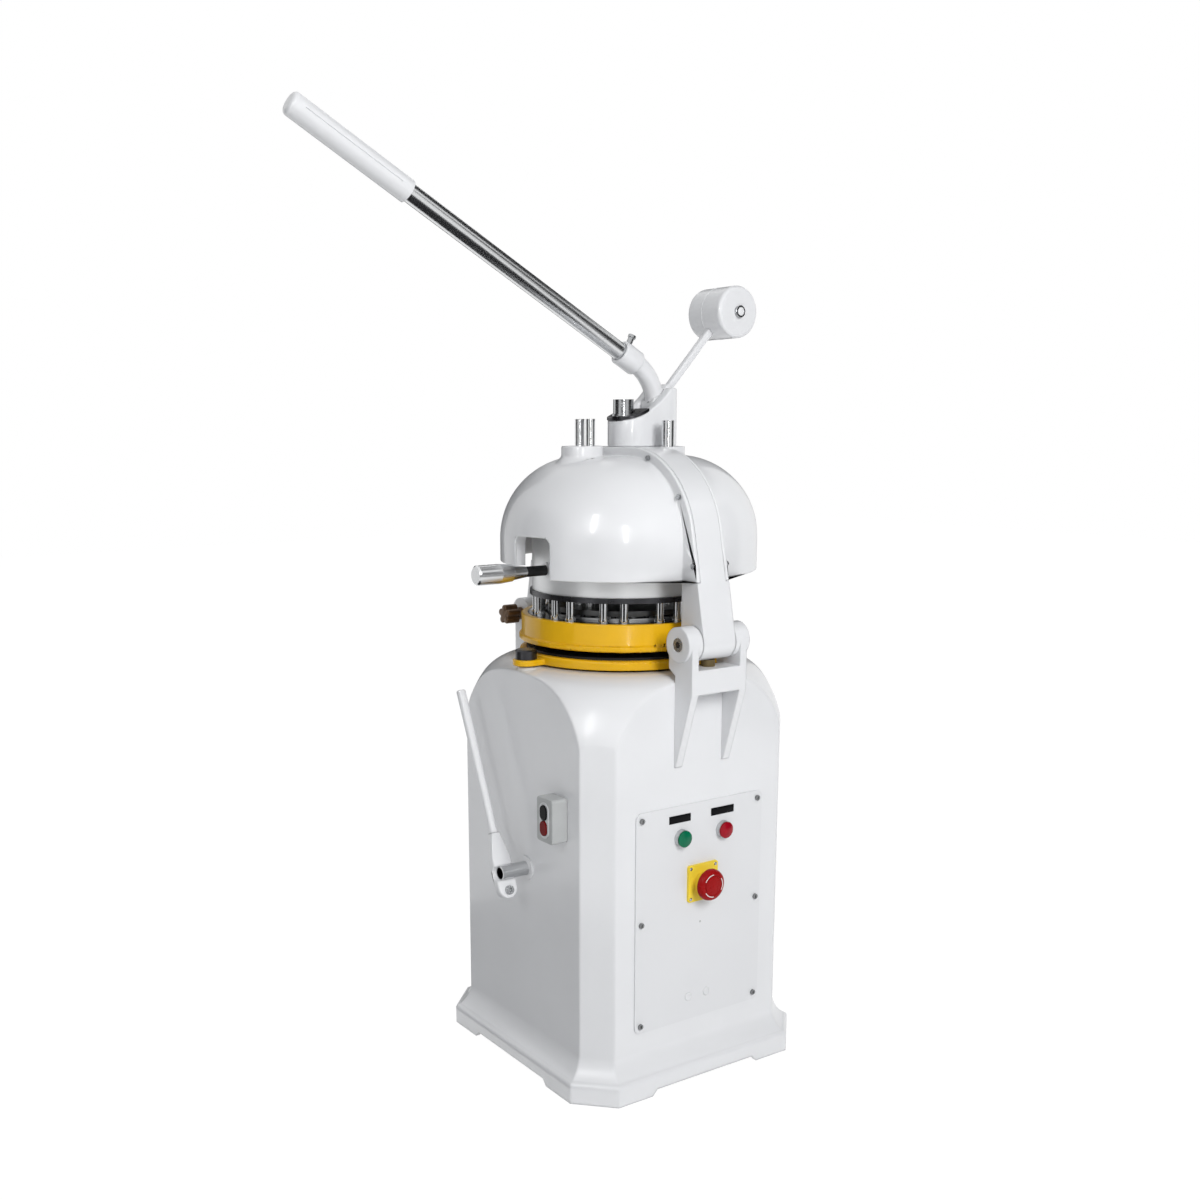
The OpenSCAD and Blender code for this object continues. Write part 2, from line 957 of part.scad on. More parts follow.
module bracket_casting(bore_end) {
  difference() {
    union() {
      for (s = [-1, 1]) {
        slab_y(s * (cheek_in + rib_t / 2) - rib_t / 2, rib_t)
          rib_side();
        translate([hinge_x, 0, hinge_z])
          along_y(s > 0 ? boss_in : -boss_w / 2, boss_w / 2 - boss_in, boss_r);
      }
      translate([body_half, -bracket_w / 2, block_z])
        cube([block_x - body_half, bracket_w, block_h]);
    }
    translate([hinge_x, 0, hinge_z])
      along_y(-boss_w, boss_w + bore_end, pin_r + running);
    translate([hinge_x, 0, block_top - stop_depth])
      cylinder(h = stop_depth + over, r = stop_r + running);
  }
}

stop_depth = 30;

module hinge_bracket() {
  color("white")
    bracket_casting(boss_w);
}

module latch_bracket() {
  color("white")
    mirror([1, 0, 0])
      bracket_casting(0);
}

module hinge_pin() {
  socket_d = 8;
  color("gray")
    translate([hinge_x, 0, hinge_z])
      difference() {
        along_y(-boss_w / 2, boss_w, pin_r);
        along_y(-boss_w / 2 - over, socket_d + over, pin_r / 2, $fn = 6);
      }
}

// Adjusting screw under the hinge end of the bow
module stop_screw() {
  color("silver")
    translate([hinge_x, 0, block_top - stop_depth])
      cylinder(h = stop_depth, r = stop_r);
}

module bumper(x) {
  translate([x, 0, block_top])
    cylinder(h = hinge_z - boss_r - slide_air - block_top, r = bumper_r);
}

module stop_bumper() {
  color("saddlebrown")
    bumper(hinge_x);
}

module latch_bumper() {
  color("saddlebrown") {
    bumper(-hinge_x);
    translate([-hinge_x, 0, block_top - stop_depth])
      cylinder(h = stop_depth + over, r = stop_r);
  }
}

// Clamp screw with a star knob, it bears on the side of the bow's free end
module star_knob() {
  lobes = 5;
  lobe_r = knob_r * 0.36;
  neck = 12;
  seat = -boss_w / 2;
  color("saddlebrown")
    translate([-hinge_x, 0, hinge_z]) {
      along_y(seat - neck, -seat + neck - bow_half - slide_air, pin_r);
      along_y(seat - neck - knob_l, knob_l, knob_r - lobe_r);
      for (k = [0 : lobes - 1]) {
        a = 90 + k * 360 / lobes;
        translate([(knob_r - lobe_r) * cos(a), 0, (knob_r - lobe_r) * sin(a)])
          along_y(seat - neck - knob_l, knob_l, lobe_r);
      }
    }
}

// Drive inside the pedestal

module deck_bolt_places() {
  for (x = [-1, 1]) {
    for (y = [-1, 1]) {
      translate([x * anchor_half, y * anchor_half, deck_z])
        children();
    }
  }
}

module drive_deck() {
  corner = anchor_half + column_r * 0.6;
  color("slategray")
    difference() {
      union() {
        eight_sided(min(corner, body_half - 2 * wall_t), body_diag - 2 * wall_t, deck_z, deck_t);
        translate([0, 0, deck_z + deck_t / 2 - bearing_h / 2])
          cylinder(h = bearing_h, r = bearing_r);
        translate([motor_pos[0], motor_pos[1], 0])
          motor_hanger();
      }
      translate([0, 0, deck_z - bearing_h])
        cylinder(h = 3 * bearing_h, r = crank_r + running);
      deck_bolt_places()
        translate([0, 0, -over])
          cylinder(h = deck_t + 2 * over, r = deck_bolt_r);
    }
}

// Two plates that carry the motor under the deck
module motor_hanger() {
  plate = 10;
  reach = motor_r + plate;
  bottom = motor_top - motor_flange_t;
  for (s = [-1, 1]) {
    translate([-motor_r / 2, s * (reach + belt_t) - plate / 2, bottom])
      cube([motor_r, plate, deck_z - bottom + eps]);
  }
  difference() {
    translate([-motor_r / 2, -reach - belt_t, bottom])
      cube([motor_r, 2 * (reach + belt_t), motor_flange_t]);
    translate([0, 0, bottom - over])
      cylinder(h = motor_flange_t + 2 * over, r = motor_shaft_r + 2);
  }
}

module deck_bolts() {
  head_r = deck_bolt_r * 1.7;
  head_h = 8;
  color("silver")
    deck_bolt_places() {
      translate([0, 0, -deck_bolt_l + over])
        cylinder(h = deck_bolt_l - over + deck_t, r = deck_bolt_r);
      translate([0, 0, deck_t])
        cylinder(h = head_h, r = head_r, $fn = 6);
    }
}

module motor() {
  fin = 3;
  fins = 24;
  body_top = motor_top - motor_flange_t;
  color("steelblue")
    translate([motor_pos[0], motor_pos[1], 0]) {
      translate([0, 0, body_top - motor_h])
        cylinder(h = motor_h, r = motor_r - fin);
      for (k = [0 : fins - 1]) {
        rotate([0, 0, k * 360 / fins])
          translate([motor_r - 2 * fin, -fin / 2, body_top - motor_h * 0.8])
            cube([2 * fin, fin, motor_h * 0.6]);
      }
    }
}

// A grooved pulley with its underside at pulley_z
module grooved_pulley(outer, bore) {
  difference() {
    ring_solid(pulley_z, pulley_h, outer, bore);
    ring_solid(pulley_z + (pulley_h - belt_w) / 2, belt_w, outer + over, outer - groove_d);
  }
}

module motor_pulley() {
  shaft_l = pulley_z + pulley_h - motor_top + motor_flange_t - slide_air;
  color("darkgray")
    translate([motor_pos[0], motor_pos[1], 0]) {
      grooved_pulley(motor_pulley_r, motor_shaft_r);
      translate([0, 0, motor_top - motor_flange_t + slide_air])
        cylinder(h = shaft_l, r = motor_shaft_r);
    }
}

module large_pulley() {
  color("darkgray")
    grooved_pulley(pulley_r, crank_r);
}

// The belt outline around both pulleys, a given distance outside the grooves
module belt_outline(grow) {
  big = pulley_r - groove_d + slide_air + grow;
  small = motor_pulley_r - groove_d + slide_air + grow;
  lean = asin((big - small) / motor_reach);
  circle(big);
  translate(motor_pos)
    circle(small);
  polygon([
    [-big * sin(lean), big * cos(lean)],
    motor_pos + small * [-sin(lean), cos(lean)],
    motor_pos + small * [-sin(lean), -cos(lean)],
    [-big * sin(lean), -big * cos(lean)]
  ]);
}

module drive_belt() {
  color("black")
    translate([0, 0, pulley_z + (pulley_h - belt_w) / 2 + slide_air])
      linear_extrude(height = belt_w - 2 * slide_air)
        difference() {
          belt_outline(belt_t);
          belt_outline(0);
        }
}

module crank_shaft() {
  color("darkgray") {
    translate([0, 0, pulley_z])
      cylinder(h = crank_web_z - pulley_z, r = crank_r);
    translate([0, 0, crank_web_z])
      cylinder(h = crank_web_t, r = crank_web_r);
    translate([orbit[0], orbit[1], crank_web_z])
      cylinder(h = table_z - hub_cap - 3 - crank_web_z, r = crank_pin_r);
  }
}

// Rounding table, which circles without turning

module table_carrier() {
  color("gray")
    translate([orbit[0], orbit[1], 0])
      difference() {
        union() {
          translate([0, 0, table_z - carrier_t])
            cylinder(h = carrier_t, r = carrier_r);
          translate([0, 0, hub_z])
            cylinder(h = table_z - hub_z, r = hub_r);
        }
        translate([0, 0, hub_z - over])
          cylinder(h = table_z - hub_z - hub_cap, r = crank_pin_r + running);
      }
}

module rounding_ring() {
  round_edge = 5;
  color("gold")
    translate([orbit[0], orbit[1], 0])
      difference() {
        union() {
          for (a = idler_angles) {
            ear_outline(a);
          }
          translate([0, 0, table_z])
            rotate_extrude() {
              square([table_r, table_h - round_edge]);
              square([table_r - round_edge, table_h]);
              translate([table_r - round_edge, table_h - round_edge])
                circle(round_edge);
            }
        }
        translate([0, 0, table_z - over])
          cylinder(h = table_h + 2 * over, r = ring_seat_r);
        translate([0, 0, board_z])
          cylinder(h = table_h, r = board_r + slide_air / 3);
        for (a = idler_angles) {
          at_angle(a, idler_r)
            translate([0, 0, table_z - over])
              cylinder(h = table_h + 2 * over, r = idler_shaft_r + running);
        }
      }
}

// Ear of the rounding ring around one guide eccentric
module ear_outline(a) {
  at_angle(a, idler_r)
    translate([0, 0, table_z])
      cylinder(h = ear_h, r = ear_r);
  rotate([0, 0, a])
    translate([ring_seat_r + over, over - ear_r, table_z])
      cube([idler_r - ring_seat_r - over, 2 * (ear_r - over), ear_h]);
}

module rounding_board() {
  color("black")
    translate([orbit[0], orbit[1], board_z])
      cylinder(h = board_t, r = board_r);
}

// Shaft in the pedestal with an offset pin and a cap
module guide_eccentric(a) {
  ear_top = table_z + ear_h;
  at_angle(a, idler_r) {
    translate([0, 0, idler_boss_z])
      cylinder(h = table_z - slide_air - idler_boss_z, r = idler_shaft_r);
    translate([0, 0, idler_boss_top + slide_air])
      cylinder(h = table_z - idler_boss_top - 2 * slide_air, r = idler_shaft_r + 2);
    translate([orbit[0], orbit[1], table_z - 2 * slide_air]) {
      cylinder(h = ear_top - table_z + 4 * slide_air, r = idler_shaft_r);
      translate([0, 0, ear_top - table_z + 3 * slide_air])
        rotate_extrude()
          polygon([
            [0, 0], [idler_cap_r, 0], [idler_cap_r, idler_cap_h - idler_cap_edge],
            [idler_cap_r - idler_cap_edge, idler_cap_h], [0, idler_cap_h]
          ]);
    }
  }
}

module guide_eccentric_front() {
  color("dimgray")
    guide_eccentric(idler_angles[0]);
}

module guide_eccentric_right() {
  color("dimgray")
    guide_eccentric(idler_angles[1]);
}

module guide_eccentric_left() {
  color("dimgray")
    guide_eccentric(idler_angles[2]);
}

// Rounding lever on the front

module rounding_shaft() {
  hole_r = rshaft_r - rshaft_wall;
  hole_d = 14;
  inner_l = 40;
  color("silver")
    translate([rlever_x, 0, rlever_z])
      difference() {
        along_y(-body_half - rshaft_l, rshaft_l + inner_l, rshaft_r);
        along_y(-body_half - rshaft_l - over, hole_d + over, hole_r);
      }
}

module shaft_bush() {
  color("white")
    translate([rlever_x, 0, rlever_z])
      difference() {
        along_y(-body_half - rbush_t, rbush_t, rbush_r);
        along_y(-body_half - rbush_t - over, rbush_t + 2 * over, rshaft_r + running);
      }
}

// Clamp block beside the shaft, tapered blade and round rod of the rounding lever
module rounding_lever() {
  half = rblock_w / 2;
  root = rrod_r + 1;
  mid = -rblock_t / 2;
  color("white")
    translate([rlever_x, 0, rlever_z])
      rotate([0, -rlever_lean, 0])
        difference() {
          union() {
            intersection() {
              slab_y(rarm_y - over, rblock_w + 2 * over)
                polygon([
                  [-rblock_t, -rblock_down - rblock_w], [0, -rblock_down - rblock_w],
                  [0, rblock_up], [mid + root, blade_l], [mid - root, blade_l],
                  [-rblock_t, rblock_up]
                ]);
              slab_x(-2 * rblock_t, 3 * rblock_t) {
                translate([rarm_c, -rblock_down])
                  circle(half);
                polygon([
                  [rarm_c - half, -rblock_down], [rarm_c + half, -rblock_down],
                  [rarm_c + half, rblock_up], [rarm_c + root, blade_l],
                  [rarm_c - root, blade_l], [rarm_c - half, rblock_up]
                ]);
              }
            }
            translate([mid, rarm_c, blade_l - over])
              rotate_extrude()
                lever_rod_section(rlever_l - blade_l + over);
          }
          along_y(rarm_y - over, rblock_w + 2 * over, rshaft_r);
          translate([0, rarm_c, -bolt_drop])
            along_x(-rblock_t - over, rblock_t + 2 * over, clamp_bolt_r);
        }
}

// Half section of the rod, slightly thicker towards its round end
module lever_rod_section(length) {
  edge = 4;
  polygon([
    [0, 0], [rrod_r, 0], [rrod_end_r, length - edge],
    [rrod_end_r - edge, length - edge], [0, length - edge]
  ]);
  translate([0, length - edge - over])
    square([rrod_end_r - edge, edge + over]);
  translate([rrod_end_r - edge, length - edge])
    intersection() {
      circle(edge);
      square(edge);
    }
}

clamp_bolt_r = 5;
bolt_drop = 35;

module clamp_bolt() {
  head_r = 9;
  head_h = 5;
  socket_r2 = 4;
  color("silver")
    translate([rlever_x, 0, rlever_z])
      rotate([0, -rlever_lean, 0])
        translate([0, rarm_c, -bolt_drop])
          difference() {
            union() {
              along_x(-rblock_t, rblock_t, clamp_bolt_r);
              along_x(0, head_h, head_r);
            }
            along_x(head_h / 2, head_h, socket_r2);
          }
}

// Head

// Outline of the bow seen from the front, right half and left half
module bow_outer() {
  for (s = [0, 1]) {
    mirror([s, 0]) {
      translate(bow_c)
        circle(bow_round);
      translate([hinge_x, hinge_z])
        circle(boss_r);
      polygon([
        [0, hinge_z], [bow_in_x, hinge_z], [hinge_x, hinge_z],
        arm_end_pt, arm_top_pt, bow_c, [0, bow_c[1]]
      ]);
    }
  }
  translate([-bow_c[0], hinge_z])
    square([2 * bow_c[0], bow_top - hinge_z]);
}

// The space under the bow
module bow_inner() {
  in_c = [bow_in_x - bow_in_round, bow_in_top - bow_in_round];
  for (s = [0, 1]) {
    mirror([s, 0])
      translate(in_c)
        circle(bow_in_round);
  }
  translate([-in_c[0], 0])
    square([2 * in_c[0], bow_in_top]);
  translate([-bow_in_x, 0])
    square([2 * bow_in_x, in_c[1]]);
}

module bow_side() {
  difference() {
    bow_outer();
    bow_inner();
  }
}

module tower_foot(grow) {
  for (y = [tower_front_y, tower_rear_y]) {
    translate([0, y])
      circle(tower_r + grow);
  }
  translate([-tower_r - grow, tower_front_y])
    square([2 * (tower_r + grow), tower_rear_y - tower_front_y]);
}

module side_rod_places() {
  for (a = side_rod_angles) {
    at_angle(a, rod_circle_r)
      children();
  }
}

module front_rod_places() {
  for (s = [-1, 1]) {
    translate([s * front_rod_gap / 2, front_rod_y, 0])
      children();
  }
}

module rod_holes(z, h, air) {
  side_rod_places()
    translate([0, 0, z])
      cylinder(h = h, r = side_rod_r + air);
  front_rod_places()
    translate([0, 0, z])
      cylinder(h = h, r = front_rod_r + air);
}

module bow() {
  pad_t2 = bow_top - cover_top + cover_t + 2;
  color("white")
    difference() {
      union() {
        slab_y(-web_half, 2 * web_half)
          bow_side();
        slab_y(-bow_half, bow_w)
          intersection() {
            bow_side();
            translate([-2 * hinge_x, 0])
              square([4 * hinge_x, cover_z - slide_air]);
          }
        translate([0, 0, deckplate_z])
          cylinder(h = deckplate_t, r = deckplate_r);
        translate([0, 0, deckplate_z])
          cylinder(h = bow_in_top - deckplate_z - slide_air, r = bow_hub_r);
        translate([-bow_hub_neck, -web_half, deckplate_z])
          cube([2 * bow_hub_neck, 2 * web_half, bow_in_top - deckplate_z + 5]);
        translate([0, 0, bow_top - pad_t2])
          linear_extrude(height = pad_t2)
            tower_foot(pad_r - tower_r);
        side_rod_places()
          translate([0, 0, side_boss_z])
            cylinder(h = bow_top - side_boss_z, r = side_boss_r);
      }
      translate([hinge_x, 0, hinge_z])
        along_y(-bow_w, 2 * bow_w, pin_r + running);
      translate([0, 0, deckplate_z - over])
        cylinder(h = bow_top, r = centre_r + running);
      rod_holes(deckplate_z - over, bow_top, rod_air);
      cover_screw_places(1)
        along_y(-over, cover_screw_depth + over, cover_screw_r);
      cover_screw_places(-1)
        along_y(-over, cover_screw_depth + over, cover_screw_r);
    }
}

cover_screw_r = 3;

// Section of a cover, outside or inside of its wall
module cover_section(inset) {
  r = cover_r - inset;
  c = [cover_r - cover_round, wall_top];
  translate([0, cover_z])
    square([r, cover_wall_h]);
  intersection() {
    translate(c)
      circle(cover_round - inset);
    translate([0, wall_top - over])
      square([r, cover_round + 2 * over]);
  }
  translate([0, wall_top - over])
    square([c[0], cover_round + over - inset]);
}

module cover_solid(inset) {
  rotate_extrude()
    cover_section(inset);
}

// Places of the screws on one flank of the bow, pointing into it
module cover_screw_places(s) {
  for (side = [-1, 1]) {
    for (a = cover_screw_angles) {
      translate([side * bow_c[0], s * web_half, bow_c[1]])
        translate([side * cover_screw_seat * cos(a), 0, cover_screw_seat * sin(a)])
          rotate([0, 0, s > 0 ? 180 : 0])
            children();
    }
    translate([side * (arm_end_pt[0] - arm_screw_in), s * web_half, cover_z + arm_screw_up])
      rotate([0, 0, s > 0 ? 180 : 0])
        children();
  }
}

module half_space(s, y) {
  big = 4 * cover_r;
  translate([-big / 2, s > 0 ? y : -y - big, 0])
    cube([big, big, 2 * bow_top]);
}

// Half of the hood with a flange that is screwed to the bow
module hood_half(s, shift) {
  difference() {
    union() {
      intersection() {
        translate([0, s * shift, 0])
          difference() {
            cover_solid(0);
            translate([0, 0, -eps])
              cover_solid(cover_t);
            translate([0, 0, cover_z - over])
              cylinder(h = 2 * over, r = cover_r - cover_t);
          }
        half_space(s, web_half + slide_air / 3);
      }
      slab_y(s > 0 ? web_half + slide_air / 3 : -bow_half, flange_t - slide_air / 3)
        difference() {
          intersection() {
            bow_outer();
            translate([-2 * hinge_x, cover_z])
              square([4 * hinge_x, bow_top]);
          }
          bow_inner();
        }
    }
    cover_screw_places(s)
      along_y(-flange_t - over, flange_t + 2 * over, cover_screw_r);
  }
}

module front_cover() {
  boss_drop = 40;
  boss_z = cover_top - boss_drop;
  flare_h = 42;
  flare_out = 36;
  color("white")
    difference() {
      union() {
        hood_half(-1, front_shift);
        difference() {
          translate([0, front_rod_y - front_boss_out, boss_z]) {
            cylinder(h = front_boss_top - boss_z, r = front_boss_r);
            cylinder(h = flare_h, r1 = front_boss_r + flare_out, r2 = front_boss_r - over);
          }
          translate([0, -front_shift, 0])
            cover_solid(cover_t);
        }
      }
      rod_holes(boss_z - over, bow_top, rod_air);
      translate([0, 0, boss_z])
        linear_extrude(height = bow_top)
          tower_foot(pad_r - tower_r + slide_air);
      notch_cut();
    }
}

// Opening of the front cover for the cutting handle
module notch_cut() {
  depth = 2 * cover_r;
  notch_past = 40;
  slab_y(-depth, depth - drum_r + notch_past)
    translate([notch_x0 + notch_w / 2, cover_z + notch_h / 2 - notch_round])
      round_rect(notch_w, notch_h + 2 * notch_round, notch_round);
  slab_y(-depth, depth - bow_half - flange_t)
    translate([-depth, cover_z - over])
      square([depth + notch_x0 + notch_round, rim_relief + over]);
}

module rear_cover() {
  color("white")
    difference() {
      hood_half(1, rear_shift);
      side_rod_places()
        translate([0, 0, side_boss_z - over])
          cylinder(h = bow_top, r = side_boss_r + slide_air);
      translate([0, 0, bow_in_top - over])
        linear_extrude(height = bow_top)
          tower_foot(pad_r - tower_r + slide_air);
      translate([-side_rod_x, 0, bow_in_top - over])
        cube([2 * side_rod_x, bow_half + over, bow_top]);
    }
}

module cover_screws() {
  head_r = 5;
  head_h = 4;
  color("silver")
    for (s = [-1, 1]) {
      cover_screw_places(s) {
        along_y(-flange_t, flange_t + cover_screw_depth, cover_screw_r);
        along_y(-flange_t - head_h, head_h, head_r);
      }
    }
}

// Round plate with four columns that hangs from the bow
module hanger_plate() {
  column = 11;
  column_in = 46;
  circle_r = hanger_r - column_in;
  color("dimgray")
    difference() {
      union() {
        translate([0, 0, hanger_z])
          cylinder(h = hanger_t, r = hanger_r);
        for (a = [45 : 90 : 315]) {
          at_angle(a, circle_r)
            translate([0, 0, hanger_z])
              cylinder(h = deckplate_z - hanger_z, r = column);
        }
      }
      translate([0, 0, hanger_z - over])
        cylinder(h = hanger_t + 2 * over, r = centre_r + running);
      rod_holes(hanger_z - over, hanger_t + 2 * over, rod_air);
    }
}

module guide_posts() {
  posts = 10;
  step = 360 / posts;
  lag = 13;
  foot_r = post_r + 2;
  foot_h = 6;
  color("silver")
    for (k = [0 : posts - 1]) {
      for (a = [k * step, k * step - lag]) {
        at_angle(a, post_circle_r)
          translate([0, 0, ring_top]) {
            cylinder(h = post_h, r = post_r);
            cylinder(h = foot_h, r = foot_r);
          }
      }
    }
}

module dividing_ring() {
  bead = 5;
  bead_h = 11;
  bead_edge = 3;
  inner = ring_r - ring_wall;
  color("gold")
    translate([0, 0, ring_z])
      rotate_extrude() {
        translate([inner, 0])
          square([ring_wall, ring_h]);
        translate([inner, 0])
          square([ring_wall + bead - bead_edge, bead_h]);
        translate([inner, bead_edge])
          square([ring_wall + bead, bead_h - 2 * bead_edge]);
        for (z = [bead_edge, bead_h - bead_edge]) {
          translate([ring_r + bead - bead_edge, z])
            circle(bead_edge);
        }
      }
}

module chamber_ring() {
  color("darkslategray")
    ring_solid(ring_z + 1, ring_h - 1, ring_r - ring_wall, chamber_r);
}

module cutting_drum() {
  color("silver")
    difference() {
      union() {
        translate([0, 0, hanger_top + slide_air])
          cylinder(h = drum_h, r = drum_r);
        rotate([0, 0, handle_angle + 90])
          translate([0, 0, handle_z])
            along_y(-handle_seat, handle_seat - drum_r + drum_t, handle_boss_r);
      }
      translate([0, 0, hanger_top - over])
        cylinder(h = drum_h + 3 * over, r = drum_r - drum_t);
    }
}

module handle_bush() {
  color("black")
    rotate([0, 0, handle_angle + 90])
      translate([0, 0, handle_z])
        along_y(-handle_seat - handle_bush_l, handle_bush_l, handle_bush_r);
}

module cutting_handle() {
  root = handle_seat + handle_bush_l;
  edge = 3;
  step_l = handle_l * 0.27;
  body_l = handle_l * 0.55;
  step_r = handle_root_r + (handle_r - handle_root_r) * 0.45;
  color("silver")
    rotate([0, 0, handle_angle + 90])
      translate([0, -root, handle_z])
        rotate([90, 0, 0])
          rotate_extrude()
            polygon([
              [0, 0], [handle_root_r, 0], [step_r, step_l], [step_r + 2, step_l + 2],
              [handle_r, body_l], [handle_r, handle_l - edge],
              [handle_r - edge, handle_l], [0, handle_l]
            ]);
}

// Centre column, tower and lever pin

module centre_column() {
  color("silver")
    translate([0, 0, hanger_z])
      cylinder(h = nut_z + nut_h - hanger_z - 1, r = centre_r);
}

module column_nut() {
  color("silver")
    difference() {
      translate([0, 0, nut_z]) {
        cylinder(h = washer_t, r = washer_r);
        cylinder(h = nut_h, r = nut_r);
      }
      translate([0, 0, nut_z - over])
        cylinder(h = nut_h + over - 1, r = centre_r);
    }
}

// The round hollow of the tower top, or the top of the skin in it
module scoop(radius) {
  translate([0, scoop_y, scoop_z])
    along_x(-2 * tower_r, 4 * tower_r, radius);
}

// Level seat of the nut in the scooped top
module nut_seat() {
  translate([0, 0, nut_z])
    cylinder(h = tower_h, r = washer_r + slide_air);
  translate([0, 0, bow_top - over])
    cylinder(h = tower_h, r = centre_r + running);
}

// Dark skin on the front part of the scooped top
module tower_collar() {
  color("dimgray")
    difference() {
      intersection() {
        translate([0, 0, bow_top])
          linear_extrude(height = tower_h)
            tower_foot(collar_lap);
        translate([-2 * tower_r, -2 * tower_r, bow_top])
          cube([4 * tower_r, 2 * tower_r + collar_y, tower_h]);
        scoop(scoop_r);
      }
      scoop(scoop_r - collar_t);
      nut_seat();
    }
}

module tower() {
  back = tower_rear_y + tower_r;
  color("white")
    difference() {
      translate([0, 0, bow_top])
        linear_extrude(height = tower_h)
          tower_foot(0);
      scoop(scoop_r);
      translate([-slot_half, slot_y, slot_z])
        cube([2 * slot_half, back, tower_h]);
      translate([0, lever_y, lever_z])
        along_x(-2 * tower_r, 3 * tower_r - pin_skin, lever_pin_r + running);
      nut_seat();
    }
}

module lever_pin() {
  color("silver")
    translate([0, lever_y, lever_z])
      along_x(-tower_r, 2 * tower_r - pin_skin, lever_pin_r);
}

pin_skin = 6;

// Press

module press_rods() {
  color("silver") {
    side_rod_places()
      translate([0, 0, press_z])
        cylinder(h = rod_top - press_z, r = side_rod_r);
    front_rod_places()
      translate([0, 0, press_z])
        cylinder(h = rod_top + 4 - press_z, r = front_rod_r);
  }
}

// Sector of a ring of pads, narrowed for the blades on its sides
module pad_sector(inner, outer, count) {
  blade_gap = blade_t + 2 * blade_air;
  difference() {
    ring_solid(pad_z, pad_t, outer, inner);
    for (k = [0 : count - 1]) {
      rotate([0, 0, k * 360 / count])
        translate([0, -blade_gap / 2, pad_z - over])
          cube([2 * outer, blade_gap, pad_t + 2 * over]);
    }
  }
}

module press_plate() {
  color("lightgray")
    difference() {
      union() {
        translate([0, 0, press_z])
          cylinder(h = press_t, r = press_r);
        for (band = pad_rings) {
          count = band[2];
          if (count == 1) {
            translate([0, 0, pad_z])
              cylinder(h = pad_t, r = band[1] - blade_air);
          } else {
            pad_sector(band[0] + blade_air + blade_t, band[1] - blade_air, count);
          }
          for (k = [0 : count - 1]) {
            at_angle((k + 0.5) * 360 / count, count == 1 ? 0 : (band[0] + band[1]) / 2)
              translate([0, 0, pad_z + pad_t - eps])
                cylinder(h = stem_l, r = count == 1 ? hub_stem_r : stem_r);
          }
        }
      }
      rod_holes(press_z - over, press_t + 2 * over, 0);
      knife_rod_places()
        translate([0, 0, pad_z - over])
          cylinder(h = press_z + press_t - pad_z + 2 * over, r = knife_rod_r + rod_air);
    }
}

module knife_rod_places() {
  for (a = [60 : 120 : 300]) {
    at_angle(a, pad_rings[1][1] + blade_t / 2)
      children();
  }
}

// Ring and ray blades that pass between the pads
module knife_grid() {
  reach = hanger_z - 2 - knife_z;
  color("silver") {
    for (band = pad_rings) {
      ring_solid(knife_z, blade_h, band[1] + blade_t, band[1]);
    }
    for (band = [pad_rings[1], pad_rings[2]]) {
      for (k = [0 : band[2] - 1]) {
        rotate([0, 0, k * 360 / band[2]])
          translate([band[0] - blade_t / 2, -blade_t / 2, knife_z])
            cube([band[1] - band[0] + blade_t, blade_t, blade_h]);
      }
    }
    knife_rod_places()
      translate([0, 0, knife_z])
        cylinder(h = reach, r = knife_rod_r);
  }
}

// Main lever

// Lays a piece that is drawn along +Z on the lever's axis
module on_lever(start) {
  translate([0, start[0], start[1]])
    rotate([90 - lever_tilt, 0, 0])
      children();
}

module lever_elbow() {
  color("white")
    difference() {
      union() {
        translate([0, lever_y, lever_z])
          along_x(-slot_half + 1, 2 * slot_half - 2, hub_lever_r);
        translate([0, elbow_c[0], elbow_c[1]])
          rotate([90, 0, 90])
            rotate_extrude(angle = elbow_turn)
              translate([elbow_bend, 0])
                circle(elbow_r);
        on_lever(elbow_start)
          cylinder(h = socket_l, r = socket_r);
        arm_place()
          cube_bar(lug_w, lug_w, lug_l);
      }
      translate([0, lever_y, lever_z])
        along_x(-tower_r, 2 * tower_r, lever_pin_r + running);
      on_lever(socket_end - tube_in * lever_axis)
        cylinder(h = 2 * tube_in, r = tube_r + running);
      set_pin_place()
        cylinder(h = 3 * socket_r, r = set_pin_r);
      arm_place()
        translate([0, 0, arm_socket])
          cube_bar(arm_w, arm_t, weight_reach);
    }
}

set_pin_r = 6;
arm_socket = 32;

// The set pin stands across the socket, upward
module set_pin_place() {
  on_lever(socket_end - 0.25 * socket_l * lever_axis)
    rotate([-90, 0, 0])
      translate([0, 0, tube_r])
        children();
}

module set_pin() {
  head_r = set_pin_r + 2;
  head_h = 5;
  length = socket_r - tube_r + 18;
  color("silver")
    set_pin_place() {
      cylinder(h = length, r = set_pin_r);
      translate([0, 0, length - head_h])
        cylinder(h = head_h, r = head_r);
    }
}

module lever_tube() {
  color("silver")
    on_lever(socket_end - tube_in * lever_axis)
      difference() {
        cylinder(h = tube_in + tube_l + grip_in, r = tube_r);
        translate([0, 0, -over])
          cylinder(h = tube_in + tube_l + grip_in + 2 * over, r = tube_r - tube_t);
      }
}

grip_in = 120;

module lever_grip() {
  edge = 8;
  groove_w = 3;
  groove_d2 = 1.5;
  color("white")
    on_lever(socket_end + tube_l * lever_axis)
      difference() {
        rotate_extrude() {
          square([grip_r, grip_l - edge]);
          square([grip_r - edge, grip_l]);
          translate([grip_r - edge, grip_l - edge])
            intersection() {
              circle(edge);
              square(edge);
            }
        }
        translate([0, 0, -over])
          cylinder(h = grip_in + over, r = tube_r + running);
        for (s = [-1, 1]) {
          translate([s * grip_r - groove_d2, -groove_w / 2, 3 * edge])
            cube([2 * groove_d2, groove_w, grip_l - 6 * edge]);
        }
      }
}

